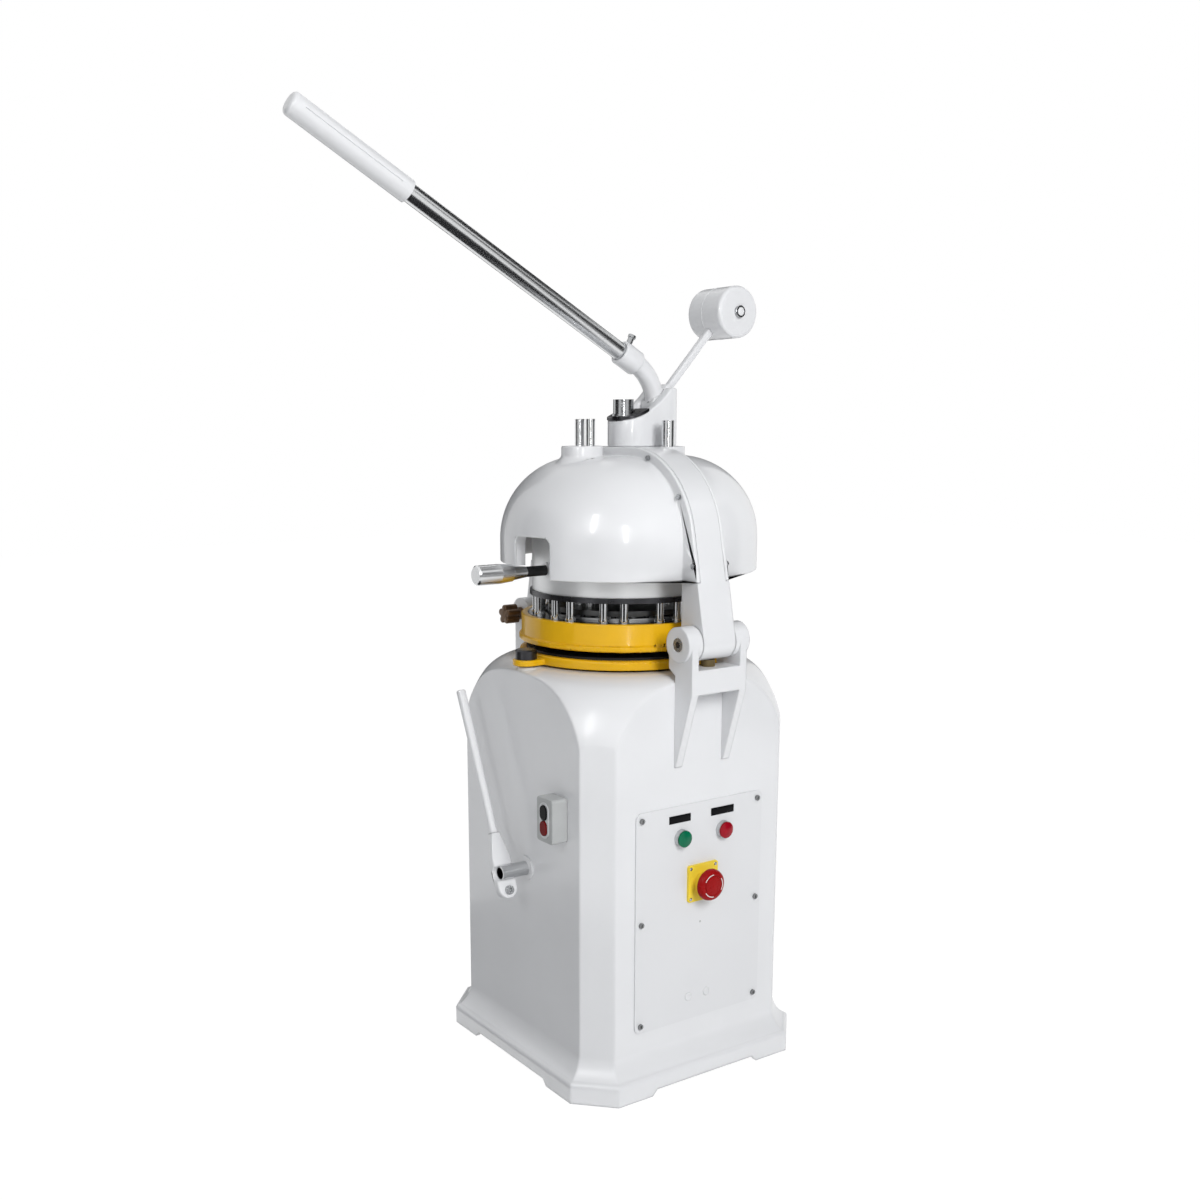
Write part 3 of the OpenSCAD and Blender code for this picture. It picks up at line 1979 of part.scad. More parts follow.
// Frame of the counterweight arm, with +Z along the arm
module arm_place() {
  translate([0, lever_y, lever_z])
    rotate([arm_tilt - 90, 0, 0])
      children();
}

module cube_bar(w, t, l) {
  translate([-w / 2, -t / 2, 0])
    cube([w, t, l]);
}

module weight_arm() {
  color("white")
    arm_place()
      translate([0, 0, arm_socket])
        cube_bar(arm_w, arm_t, weight_reach - arm_socket + arm_past);
}

weight_bolt_r = 9;
weight_bolt_out = 5;
arm_past = 24;

module counterweight() {
  edge = 8;
  color("white")
    difference() {
      translate([0, weight_c[0], weight_c[1]]) {
        along_x(-weight_l / 2 + edge, weight_l - 2 * edge, weight_r);
        for (s = [-1, 1]) {
          translate([s * (weight_l / 2 - edge), 0, 0])
            rotate([0, s * 90, 0])
              rotate_extrude() {
                square([weight_r - edge, edge]);
                translate([weight_r - edge, 0])
                  intersection() {
                    circle(edge);
                    square(edge);
                  }
              }
        }
        along_x(arm_w / 2, weight_l / 2 + weight_bolt_out - arm_w / 2, weight_bolt_r);
      }
      arm_place()
        translate([0, 0, arm_socket])
          cube_bar(arm_w, arm_t, weight_reach - arm_socket + arm_past);
    }
}

pedestal();
access_panel();
panel_screws();
lamp_holders();
green_lens();
red_lens();
estop_base();
estop_head();
station_box();
start_button();
stop_button();
hinge_bracket();
latch_bracket();
hinge_pin();
stop_screw();
stop_bumper();
latch_bumper();
star_knob();
drive_deck();
deck_bolts();
motor();
motor_pulley();
drive_belt();
crank_shaft();
large_pulley();
table_carrier();
rounding_ring();
rounding_board();
guide_eccentric_front();
guide_eccentric_right();
guide_eccentric_left();
rounding_shaft();
rounding_lever();
clamp_bolt();
shaft_bush();
bow();
front_cover();
rear_cover();
cover_screws();
hanger_plate();
guide_posts();
dividing_ring();
chamber_ring();
cutting_drum();
handle_bush();
cutting_handle();
centre_column();
column_nut();
tower_collar();
tower();
lever_pin();
press_rods();
press_plate();
knife_grid();
lever_elbow();
set_pin();
lever_tube();
lever_grip();
weight_arm();
counterweight();
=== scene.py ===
# %% [markdown]
# # A bakery dough divider rounder
#
# The machine stands on the floor: a white cast pedestal, a table that circles on top of it,
# and a tilting head with a press, knives and a long lever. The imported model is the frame.
# This lesson sets up the photograph's camera and light, gives every casting, ring, rod and
# device its finish, and then adds the small pieces that the construction model leaves plain.

import json
import math

import bmesh
import bpy
from mathutils import Matrix, Vector
from mathutils.bvhtree import BVHTree


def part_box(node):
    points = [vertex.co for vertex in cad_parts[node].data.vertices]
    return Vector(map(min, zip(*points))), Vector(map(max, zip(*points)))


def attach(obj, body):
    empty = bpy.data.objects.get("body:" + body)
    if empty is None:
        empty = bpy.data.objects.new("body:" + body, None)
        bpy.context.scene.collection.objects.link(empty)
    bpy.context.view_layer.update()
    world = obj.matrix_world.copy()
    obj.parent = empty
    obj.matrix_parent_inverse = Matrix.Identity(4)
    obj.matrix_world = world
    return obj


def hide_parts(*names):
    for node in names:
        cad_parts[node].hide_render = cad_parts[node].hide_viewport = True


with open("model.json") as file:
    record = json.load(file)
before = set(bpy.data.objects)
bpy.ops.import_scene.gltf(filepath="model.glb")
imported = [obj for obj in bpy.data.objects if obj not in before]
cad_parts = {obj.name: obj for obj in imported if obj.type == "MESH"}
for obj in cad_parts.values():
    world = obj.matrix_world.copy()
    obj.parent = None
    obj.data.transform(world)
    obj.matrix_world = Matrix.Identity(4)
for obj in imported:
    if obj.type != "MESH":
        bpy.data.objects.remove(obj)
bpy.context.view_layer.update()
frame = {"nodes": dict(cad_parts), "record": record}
nodes = frame["nodes"]

# %% [markdown]
# ## The camera
#
# The photograph was taken from the right of the operator, a little above the table, with a
# moderate lens. Its place was found by fitting the base, the panel and the rings, so the lens
# and the shift below belong to a square picture of 1200 pixels.

# %% Camera
PHOTO_SIZE = 1200
SENSOR = 36.0
FOCAL_PX = 1330.0
CENTRE_PX = (526.0, 680.0)
CAMERA_AT = Vector((2.124, -1.612, 1.263))
CAMERA_TURN = 57.0
CAMERA_PITCH = 10.8
CAMERA_ROLL = -0.47

camera_data = bpy.data.cameras.new("photo_camera")
camera_data.sensor_width = SENSOR
camera_data.lens = FOCAL_PX / PHOTO_SIZE * SENSOR
camera_data.shift_x = (PHOTO_SIZE / 2 - CENTRE_PX[0]) / PHOTO_SIZE
camera_data.shift_y = (CENTRE_PX[1] - PHOTO_SIZE / 2) / PHOTO_SIZE
camera_data.dof.use_dof = False
camera = bpy.data.objects.new("photo_camera", camera_data)
bpy.context.scene.collection.objects.link(camera)
camera.location = CAMERA_AT
look = Matrix.Rotation(math.radians(CAMERA_TURN), 4, "Z")
look = look @ Matrix.Rotation(math.radians(90 - CAMERA_PITCH), 4, "X")
look = look @ Matrix.Rotation(math.radians(CAMERA_ROLL), 4, "Z")
camera.rotation_euler = look.to_euler()
bpy.context.scene.camera = camera
print(
    "lens:", round(camera_data.lens, 2),
    "shift:", round(camera_data.shift_x, 4), round(camera_data.shift_y, 4))

# %% [markdown]
# ## The studio
#
# The picture has a white ground and a soft light that comes mostly from the right, so the side
# with the panel is bright and the operator's side lies in half shade. The world is white to the
# camera and to mirrors, and only a moderate light to the paint.

# %% World
PALE = (1.0, 1.0, 1.0, 1.0)
SKY_TINT = (0.96, 0.98, 1.0, 1.0)
WORLD_LIGHT = 0.38

scene = bpy.context.scene
scene.view_settings.view_transform = "Standard"


def sees_ground(n, k):
    """One for camera, mirror and glass rays, which all see the white ground."""
    ray = n.new("ShaderNodeLightPath")
    first = n.new("ShaderNodeMath")
    first.operation = "MAXIMUM"
    second = n.new("ShaderNodeMath")
    second.operation = "MAXIMUM"
    k.new(ray.outputs["Is Camera Ray"], first.inputs[0])
    k.new(ray.outputs["Is Glossy Ray"], first.inputs[1])
    k.new(first.outputs["Value"], second.inputs[0])
    k.new(ray.outputs["Is Transmission Ray"], second.inputs[1])
    return second.outputs["Value"]


world = bpy.data.worlds.new("white_studio")
scene.world = world
world.use_nodes = True
wn, wl = world.node_tree.nodes, world.node_tree.links
wn.clear()
world_out = wn.new("ShaderNodeOutputWorld")
seen = wn.new("ShaderNodeBackground")
seen.inputs["Color"].default_value = PALE
seen.inputs["Strength"].default_value = 1.0
lit = wn.new("ShaderNodeBackground")
lit.inputs["Color"].default_value = SKY_TINT
lit.inputs["Strength"].default_value = WORLD_LIGHT
world_mix = wn.new("ShaderNodeMixShader")
wl.new(sees_ground(wn, wl), world_mix.inputs["Fac"])
wl.new(lit.outputs["Background"], world_mix.inputs[1])
wl.new(seen.outputs["Background"], world_mix.inputs[2])
wl.new(world_mix.outputs["Shader"], world_out.inputs["Surface"])
print("world light:", WORLD_LIGHT)

# %% [markdown]
# The floor is as white as the world to the camera and to mirrors, and keeps a trace of the
# machine's own shadow.

# %% Floor
FLOOR_HALF = 12.0
FLOOR_PAPER = (0.9, 0.9, 0.9, 1.0)
FLOOR_GLOW = 1.065
GLOW_SHARE = 0.92


def floor_finish():
    """White to the camera, with the object's own shadow left on it."""
    m = bpy.data.materials.new("pale_floor")
    m.use_nodes = True
    n, k = m.node_tree.nodes, m.node_tree.links
    n.clear()
    out = n.new("ShaderNodeOutputMaterial")
    paper = n.new("ShaderNodeBsdfDiffuse")
    paper.inputs["Color"].default_value = FLOOR_PAPER
    glow = n.new("ShaderNodeEmission")
    glow.inputs["Color"].default_value = PALE
    glow.inputs["Strength"].default_value = FLOOR_GLOW
    share = n.new("ShaderNodeMath")
    share.operation = "MULTIPLY"
    share.inputs[1].default_value = GLOW_SHARE
    mix = n.new("ShaderNodeMixShader")
    k.new(sees_ground(n, k), share.inputs[0])
    k.new(share.outputs["Value"], mix.inputs["Fac"])
    k.new(paper.outputs["BSDF"], mix.inputs[1])
    k.new(glow.outputs["Emission"], mix.inputs[2])
    k.new(mix.outputs["Shader"], out.inputs["Surface"])
    return m


floor_mesh = bpy.data.meshes.new("floor")
bm = bmesh.new()
bmesh.ops.create_grid(bm, x_segments=1, y_segments=1, size=FLOOR_HALF)
bm.to_mesh(floor_mesh)
bm.free()
floor = bpy.data.objects.new("floor", floor_mesh)
scene.collection.objects.link(floor)
floor.data.materials.append(floor_finish())
print("floor half width:", FLOOR_HALF)

# %% [markdown]
# The two broad lamps light the paint and stay out of the gloss. Two narrow strips do the
# opposite: they show in the gloss alone, as the slim highlights on the cover.

# %% Lamps
MIDDLE = (0.0, 0.0, 0.9)
STRIP_W, STRIP_H = 0.18, 1.3
STRIPS = {
    "left_strip": ((1.5, -2.7, 2.5), 24.0),
    "right_strip": ((2.9, -1.7, 1.75), 18.0),
}


def soft_box(name, at, target, width, height, power):
    """A rectangular area lamp that faces a point."""
    lamp = bpy.data.lights.new(name, "AREA")
    lamp.shape = "RECTANGLE"
    lamp.size = width
    lamp.size_y = height
    lamp.energy = power
    holder = bpy.data.objects.new(name, lamp)
    scene.collection.objects.link(holder)
    holder.location = at
    aim = Vector(target) - Vector(at)
    holder.rotation_euler = aim.to_track_quat("-Z", "Y").to_euler()
    return holder


key_box = soft_box("key_box", (3.2, -0.4, 2.5), MIDDLE, 1.0, 1.6, 80)
front_box = soft_box("front_box", (0.9, -3.2, 2.3), MIDDLE, 0.4, 1.0, 8)
soft_box("rim_box", (-2.6, 1.4, 2.6), MIDDLE, 1.4, 1.4, 26)
for broad in (key_box, front_box):
    broad.visible_glossy = False
for name, (at, power) in STRIPS.items():
    strip = soft_box(name, at, MIDDLE, STRIP_W, STRIP_H, power)
    strip.visible_diffuse = False

# %% [markdown]
# Chrome in a room that is white all round would look like white paint. A photographer sets up
# black flags, so that polished rods get their dark bands. These flags are seen by mirrors alone.
# The tray below the lever is white on its lower side, so that it doesn't darken the shaft below.

# %% Black flags
FLAG_BLACK = (0.012, 0.012, 0.014, 1.0)


def black_flag(name, at, target, width, height, pale_back=False):
    """A dark sheet beside the set that only shows in polished metal; its back can be white."""
    mesh = bpy.data.meshes.new(name)
    sheet = bmesh.new()
    bmesh.ops.create_grid(sheet, x_segments=1, y_segments=1, size=0.5)
    aim = (Vector(target) - Vector(at)).to_track_quat("-Z", "Y").to_matrix().to_4x4()
    size = Matrix.Diagonal((width, height, 1.0, 1.0))
    bmesh.ops.transform(sheet, matrix=Matrix.Translation(at) @ aim @ size, verts=sheet.verts)
    sheet.to_mesh(mesh)
    sheet.free()
    flag = bpy.data.objects.new(name, mesh)
    scene.collection.objects.link(flag)
    cloth = bpy.data.materials.new(name + "_cloth")
    cloth.use_nodes = True
    n, k = cloth.node_tree.nodes, cloth.node_tree.links
    weave = n["Principled BSDF"]
    weave.inputs["Base Color"].default_value = FLAG_BLACK
    weave.inputs["Roughness"].default_value = 1.0
    if pale_back:
        side = n.new("ShaderNodeNewGeometry")
        paper = n.new("ShaderNodeEmission")
        paper.inputs["Color"].default_value = PALE
        mix = n.new("ShaderNodeMixShader")
        k.new(side.outputs["Backfacing"], mix.inputs["Fac"])
        k.new(weave.outputs["BSDF"], mix.inputs[1])
        k.new(paper.outputs["Emission"], mix.inputs[2])
        k.new(mix.outputs["Shader"], n["Material Output"].inputs["Surface"])
    mesh.materials.append(cloth)
    flag.visible_camera = False
    flag.visible_diffuse = False
    flag.visible_shadow = False
    flag.visible_transmission = False


LEVER_MIDDLE = (0.0, -0.4, 1.55)
black_flag("back_flag", (-2.6, 1.3, 1.7), MIDDLE, 3.4, 3.0)
black_flag("left_flag", (-1.3, -2.8, 1.1), MIDDLE, 2.8, 3.2)
black_flag("right_flag", (2.1, 2.3, 1.2), MIDDLE, 2.8, 3.2)
black_flag("high_flag", (0.1, 1.7, 3.3), LEVER_MIDDLE, 3.0, 1.3)
black_flag("low_flag", (0.0, -0.75, 0.03), (0.0, -0.75, 5.0), 1.5, 1.1)
black_flag("tray_flag", (0.75, -0.8, 1.0), (0.75, -0.8, -5.0), 1.1, 1.6, pale_back=True)
black_flag("far_flag", (3.2, -2.85, 0.9), (0.0, -0.4, 0.9), 4.5, 1.75)

# %% [markdown]
# ## Finishes
#
# Every finish starts from one helper: a principled surface whose colour drifts a little, whose
# gloss is broken by a fine noise, and whose bump has the grain of the real surface. All patterns
# read Object coordinates, so they stay on the piece. Values that are the same all over are set on
# the shader's own sockets.

# %% A helper for all finishes
TINT_LOW, TINT_HIGH = 0.3, 0.7
CLOUD_DETAIL, SPECK_DETAIL, PEEL_DETAIL = 4.0, 5.0, 2.0
LEAST_ROUGH = 0.02
EDGE_SAMPLES = 8
BUMP_STRENGTH = 0.6


def finish_of(name, colour, rough, metal=0.0, coat=0.0, drift=0.03, drift_scale=9.0,
              rough_span=0.06, rough_scale=40.0, grain=0.0, grain_scale=300.0,
              stretch=(1.0, 1.0, 1.0), coat_rough=0.08, specular=0.5, soft=0.0):
    """A procedural finish; grain is the bump's depth and soft the worn edge, both in metres."""
    m = bpy.data.materials.new(name)
    m.use_nodes = True
    n, k = m.node_tree.nodes, m.node_tree.links
    n.clear()
    out = n.new("ShaderNodeOutputMaterial")
    skin = n.new("ShaderNodeBsdfPrincipled")
    skin.inputs["Metallic"].default_value = metal
    skin.inputs["Coat Weight"].default_value = coat
    skin.inputs["Coat Roughness"].default_value = coat_rough
    skin.inputs["Specular IOR Level"].default_value = specular
    place = n.new("ShaderNodeTexCoord")
    turn = n.new("ShaderNodeMapping")
    turn.inputs["Scale"].default_value = stretch
    k.new(place.outputs["Object"], turn.inputs["Vector"])

    cloud = n.new("ShaderNodeTexNoise")
    cloud.inputs["Scale"].default_value = drift_scale
    cloud.inputs["Detail"].default_value = CLOUD_DETAIL
    k.new(place.outputs["Object"], cloud.inputs["Vector"])
    tint = n.new("ShaderNodeValToRGB")
    low = [max(0.0, c * (1.0 - drift)) for c in colour]
    high = [min(1.0, c * (1.0 + drift)) for c in colour]
    tint.color_ramp.elements[0].position = TINT_LOW
    tint.color_ramp.elements[0].color = (*low, 1.0)
    tint.color_ramp.elements[1].position = TINT_HIGH
    tint.color_ramp.elements[1].color = (*high, 1.0)
    k.new(cloud.outputs["Fac"], tint.inputs["Fac"])
    k.new(tint.outputs["Color"], skin.inputs["Base Color"])

    speck = n.new("ShaderNodeTexNoise")
    speck.inputs["Scale"].default_value = rough_scale
    speck.inputs["Detail"].default_value = SPECK_DETAIL
    k.new(turn.outputs["Vector"], speck.inputs["Vector"])
    gloss = n.new("ShaderNodeMapRange")
    gloss.inputs["To Min"].default_value = max(LEAST_ROUGH, rough - rough_span)
    gloss.inputs["To Max"].default_value = rough + rough_span
    k.new(speck.outputs["Fac"], gloss.inputs["Value"])
    k.new(gloss.outputs["Result"], skin.inputs["Roughness"])

    facing = None
    if soft > 0.0:
        edge = n.new("ShaderNodeBevel")
        edge.samples = EDGE_SAMPLES
        edge.inputs["Radius"].default_value = soft
        facing = edge.outputs["Normal"]
        k.new(facing, skin.inputs["Normal"])
    if grain > 0.0:
        peel = n.new("ShaderNodeTexNoise")
        peel.inputs["Scale"].default_value = grain_scale
        peel.inputs["Detail"].default_value = PEEL_DETAIL
        k.new(turn.outputs["Vector"], peel.inputs["Vector"])
        bump = n.new("ShaderNodeBump")
        bump.inputs["Strength"].default_value = BUMP_STRENGTH
        bump.inputs["Distance"].default_value = grain
        k.new(peel.outputs["Fac"], bump.inputs["Height"])
        if facing is not None:
            k.new(facing, bump.inputs["Normal"])
        k.new(bump.outputs["Normal"], skin.inputs["Normal"])
    k.new(skin.outputs["BSDF"], out.inputs["Surface"])
    return m


print("finish helper ready")

# %% [markdown]
# The castings carry a thick white gloss enamel with a faint orange peel and a slight waviness
# from the filler below it. The sheet panel has the same paint over a flatter ground, set a little
# darker in colour as painted shade that holds the panel down under the key lamp.

# %% Paints
WHITE = (0.76, 0.765, 0.78)
finishes = {}
finishes["white_paint"] = finish_of(
    "white_enamel", WHITE, 0.32, coat=0.45, drift=0.02, drift_scale=5.0,
    rough_span=0.07, rough_scale=22.0, grain=0.00008, grain_scale=60.0, coat_rough=0.10)
# The panel's colour is a little darker than the castings' white, as painted shade under the key
# lamp.
finishes["panel_paint"] = finish_of(
    "panel_enamel", (0.72, 0.725, 0.74), 0.36, coat=0.3, drift=0.015, drift_scale=4.0,
    rough_span=0.06, rough_scale=30.0, grain=0.00006, grain_scale=90.0, coat_rough=0.15)
finishes["yellow_ring"] = finish_of(
    "yellow_enamel", (0.77, 0.43, 0.004), 0.32, coat=0.22, specular=0.25, drift=0.05,
    drift_scale=14.0, rough_span=0.08, rough_scale=50.0, grain=0.00018, grain_scale=180.0)
finishes["motor_paint"] = finish_of(
    "motor_enamel", (0.16, 0.22, 0.30), 0.45, drift=0.06, grain=0.0002)
print("paints:", list(finishes))

# %% [markdown]
# Bare metal shows how it was worked: rods and the lever tube are ground and chromed, the drum is
# turned, so its fine lines run round it, screws are plain bright zinc, and the plate over the
# posts is dark. A stretched pattern gives the run of these lines.

# %% Metals
ROUND_LINES = (1.0, 1.0, 40.0)
ALONG_LEVER = (60.0, 6.0, 6.0)
ALONG_SHAFT = (6.0, 60.0, 6.0)
finishes["chrome"] = finish_of(
    "ground_chrome", (0.72, 0.73, 0.74), 0.24, metal=1.0, drift=0.01, rough_span=0.01,
    rough_scale=2.0, stretch=ALONG_LEVER)
finishes["bright_steel"] = finish_of(
    "bright_zinc", (0.42, 0.43, 0.44), 0.26, metal=1.0, drift=0.08, drift_scale=60.0,
    rough_span=0.10, rough_scale=120.0, grain=0.00004, grain_scale=400.0)
finishes["satin_steel"] = finish_of(
    "turned_steel", (0.56, 0.57, 0.58), 0.34, metal=1.0, drift=0.05, drift_scale=12.0,
    rough_span=0.12, rough_scale=14.0, grain=0.00006, grain_scale=14.0, stretch=ROUND_LINES)
finishes["machined_steel"] = finish_of(
    "machined_steel", (0.06, 0.062, 0.065), 0.20, metal=1.0, drift=0.08, drift_scale=20.0,
    rough_span=0.10, rough_scale=18.0, grain=0.00004, grain_scale=20.0, stretch=ROUND_LINES)
finishes["dark_iron"] = finish_of(
    "dark_oxide", (0.055, 0.055, 0.06), 0.30, metal=0.85, drift=0.25, drift_scale=40.0,
    rough_span=0.12, rough_scale=60.0, grain=0.00006, grain_scale=220.0)
finishes["press_metal"] = finish_of(
    "milled_metal", (0.10, 0.103, 0.106), 0.34, metal=1.0, drift=0.04, drift_scale=25.0,
    rough_span=0.10, rough_scale=80.0, grain=0.00005, grain_scale=300.0)
finishes["bronze_paint"] = finish_of(
    "oiled_bronze", (0.13, 0.075, 0.04), 0.36, metal=0.55, drift=0.30, drift_scale=60.0,
    rough_span=0.12, rough_scale=90.0, grain=0.0001, grain_scale=250.0)
print("metals done:", len(finishes))

# %% [markdown]
# Moulded pieces are the board, the buttons, the box of the push buttons, the stop and the lamps.

# %% Plastics and rubber
finishes["black_plastic"] = finish_of(
    "black_moulding", (0.014, 0.014, 0.015), 0.45, specular=0.25, drift=0.20, drift_scale=30.0,
    rough_span=0.10, rough_scale=90.0, grain=0.00008, grain_scale=420.0)
finishes["grey_box"] = finish_of(
    "grey_moulding", (0.44, 0.45, 0.45), 0.45, drift=0.03, drift_scale=30.0,
    rough_span=0.08, rough_scale=120.0, grain=0.0001, grain_scale=520.0)
finishes["yellow_plastic"] = finish_of(
    "yellow_moulding", (0.88, 0.66, 0.05), 0.38, coat=0.05, specular=0.25, drift=0.04,
    drift_scale=40.0, rough_span=0.08, rough_scale=90.0, grain=0.00006, grain_scale=380.0)
finishes["red_plastic"] = finish_of(
    "red_moulding", (0.30, 0.004, 0.005), 0.28, specular=0.12, drift=0.06, drift_scale=40.0,
    rough_span=0.08, rough_scale=90.0, grain=0.00005, grain_scale=380.0)
finishes["brown_rubber"] = finish_of(
    "brown_rubber", (0.12, 0.085, 0.03), 0.55, drift=0.20, drift_scale=60.0,
    rough_span=0.10, rough_scale=120.0, grain=0.0002, grain_scale=300.0)
finishes["belt_rubber"] = finish_of(
    "belt_rubber", (0.02, 0.02, 0.02), 0.7, drift=0.2, drift_scale=60.0, grain=0.0002)
finishes["green_lens"] = finish_of(
    "green_lens", (0.002, 0.14, 0.065), 0.16, coat=0.05, specular=0.18, drift=0.12,
    drift_scale=90.0, rough_span=0.06, rough_scale=200.0, grain=0.0002, grain_scale=420.0)
finishes["red_lens"] = finish_of(
    "red_lens", (0.30, 0.002, 0.012), 0.16, coat=0.05, specular=0.18, drift=0.12,
    drift_scale=90.0, rough_span=0.06, rough_scale=200.0, grain=0.0002, grain_scale=420.0)
finishes["gloss_black"] = finish_of(
    "gloss_black", (0.004, 0.004, 0.005), 0.22, specular=0.08, drift=0.1, drift_scale=60.0)
print("all finishes:", len(finishes))

# %% [markdown]
# Some nodes look different from the others of their slot, so they get a finish of their own. The
# large castings have the white enamel with soft edges, by a radius in metres.

# %% Softer edges for the large castings
soft_edges = {
    "pedestal": 0.009, "bow": 0.005, "hinge_bracket": 0.005, "latch_bracket": 0.005,
}
casting_finish = {
    part: finish_of(
        part + "_enamel", WHITE, 0.32, coat=0.45, drift=0.02, drift_scale=5.0, soft=radius,
        rough_span=0.07, rough_scale=22.0, grain=0.00008, grain_scale=60.0, coat_rough=0.10)
    for part, radius in soft_edges.items()
}
print("soft castings:", sorted(casting_finish))

# %% [markdown]
# The buttons, the drum, the panel's screws, the rounding shaft and the posts differ from their
# slot in tone or polish.

# %% Finishes of single nodes
casting_finish["start_button"] = finishes["gloss_black"]
casting_finish["stop_button"] = finish_of(
    "dark_red", (0.16, 0.003, 0.004), 0.26, specular=0.08, drift=0.08, drift_scale=60.0)
casting_finish["cutting_drum"] = finish_of(
    "satin_drum", (0.84, 0.85, 0.855), 0.38, metal=0.6, drift=0.04, drift_scale=12.0,
    rough_span=0.10, rough_scale=14.0, grain=0.00005, grain_scale=14.0, stretch=ROUND_LINES)
# The panel's screws are chrome; their dark colour is a painted dark reflection.
casting_finish["panel_screws"] = finish_of(
    "plated_screw_dark_reflection", (0.22, 0.225, 0.23), 0.16, metal=1.0, drift=0.10, drift_scale=80.0,
    rough_span=0.06)
casting_finish["rounding_shaft"] = finish_of(
    "ground_shaft", (0.62, 0.63, 0.64), 0.15, metal=1.0, drift=0.04, rough_span=0.08,
    rough_scale=14.0, stretch=ALONG_SHAFT)
casting_finish["guide_posts"] = finish_of(
    "polished_posts", (0.62, 0.63, 0.64), 0.10, metal=1.0, drift=0.05, drift_scale=40.0,
    rough_span=0.05)
print("own finishes:", sorted(casting_finish))

# %% [markdown]
# Each node takes its own finish, or else the one that belongs to its material slot.

# %% Put the finishes on the frame
slot_of = {s["node"]: s["material_slot"] for s in frame["record"]["subparts"]}
for node_name, piece in nodes.items():
    piece.data.materials.clear()
    piece.data.materials.append(casting_finish.get(node_name, finishes[slot_of[node_name]]))
print("dressed nodes:", len(nodes))

# %% [markdown]
# ## Rounded castings
#
# A sand casting under thick paint has no sharp edge anywhere. The construction model keeps its
# edges crisp, so each casting is copied here, its triangles are merged back into whole faces, and
# every edge that turns by more than a limit is rounded with the bevel operator. A bevel can throw
# a corner far out where two edges meet at a very flat angle, so such corners are set back onto
# the casting's own surface.

# %% A helper for rounded castings
MERGE = 2e-5
FLAT_BELOW, HARD_ABOVE, SMOOTH_BELOW = 0.4, 32.0, 38.0
ROUND_STEPS = 3
STRAY_SHARE = 0.6
body_of = {n: b for b, held in frame["record"]["behaviour"]["bodies"].items() for n in held}


def rounded_copy(node_name, width):
    """Stands for a casting of the frame, with its hard edges rounded."""
    shape = bmesh.new()
    shape.from_mesh(nodes[node_name].data)
    bmesh.ops.remove_doubles(shape, verts=shape.verts[:], dist=MERGE)
    bmesh.ops.dissolve_limit(
        shape, angle_limit=math.radians(FLAT_BELOW), use_dissolve_boundaries=False,
        verts=shape.verts[:], edges=shape.edges[:], delimit={"NORMAL"})
    skin = BVHTree.FromBMesh(shape)
    hard = [
        e for e in shape.edges
        if len(e.link_faces) == 2 and e.calc_face_angle(0.0) > math.radians(HARD_ABOVE)
    ]
    bmesh.ops.bevel(
        shape, geom=hard, offset=width, offset_type="OFFSET", segments=ROUND_STEPS, profile=0.5,
        affect="EDGES", material=-1, clamp_overlap=False, loop_slide=True)
    stray = 0
    for v in shape.verts:
        spot, _, _, gap = skin.find_nearest(v.co)
        if gap > STRAY_SHARE * width:
            v.co = spot
            stray += 1
    mesh = bpy.data.meshes.new(node_name + "_rounded")
    shape.to_mesh(mesh)
    shape.free()
    mesh.polygons.foreach_set("use_smooth", [True] * len(mesh.polygons))
    mesh.set_sharp_from_angle(angle=math.radians(SMOOTH_BELOW))
    piece = bpy.data.objects.new(node_name + "_rounded", mesh)
    scene.collection.objects.link(piece)
    mesh.materials.append(finishes[slot_of[node_name]])
    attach(piece, body_of[node_name])
    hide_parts(node_name)
    print(node_name, "edges:", len(hard), "set back:", stray)


print("bodies:", len(set(body_of.values())))

# %% [markdown]
# The covers, the tower and the levers get real rounds. The pedestal, the bow and the brackets have
# edges that run into each other at flat angles, where a bevel would fold over, so they keep the
# frame's mesh and get their soft edges from the shader's own bevel, wide on the pedestal's arches.
# The rings are turned, so they only lose the sharpness of their corners.

# %% Round the castings
CASTING_ROUNDS = {
    "front_cover": 0.003, "rear_cover": 0.003, "tower": 0.004, "lever_elbow": 0.003,
    "rounding_lever": 0.003, "weight_arm": 0.003, "dividing_ring": 0.002,
    "rounding_ring": 0.002, "star_knob": 0.0025, "station_box": 0.002,
}
for node_name, width in CASTING_ROUNDS.items():
    rounded_copy(node_name, width)

# %% [markdown]
# ## Lip of the notch
#
# The front cover is a thin casting, but around the notch for the cutting handle its edge turns
# inwards. The lip is a row of edges along the notch's outline on the cover's round wall, drawn
# inwards and then given a thickness away from the opening.

# %% Turned-in lip
COVER_R, COVER_Y = 0.235, -0.011
NOTCH = (-0.015, 0.080, 0.980, 1.058)
NOTCH_ROUND, LIP_DEPTH, LIP_T, LIP_SINK = 0.014, 0.022, 0.004, 0.0015
LEFT_FOOT, RIGHT_FOOT = 0.021, 0.001
CORNER_STEPS = 8


def notch_path():
    """Points of the notch's outline from its lower left to its lower right corner."""
    x0, x1, z0, z1 = NOTCH
    corner_z = z1 - NOTCH_ROUND
    points = [(x0, z0 + LEFT_FOOT), (x0, corner_z)]
    for corner_x, start in ((x0 + NOTCH_ROUND, 180), (x1 - NOTCH_ROUND, 90)):
        for i in range(1, CORNER_STEPS + 1):
            a = math.radians(start - 90 * i / CORNER_STEPS)
            x = corner_x + NOTCH_ROUND * math.cos(a)
            points.append((x, corner_z + NOTCH_ROUND * math.sin(a)))
    return points + [(x1, z0 + RIGHT_FOOT)]


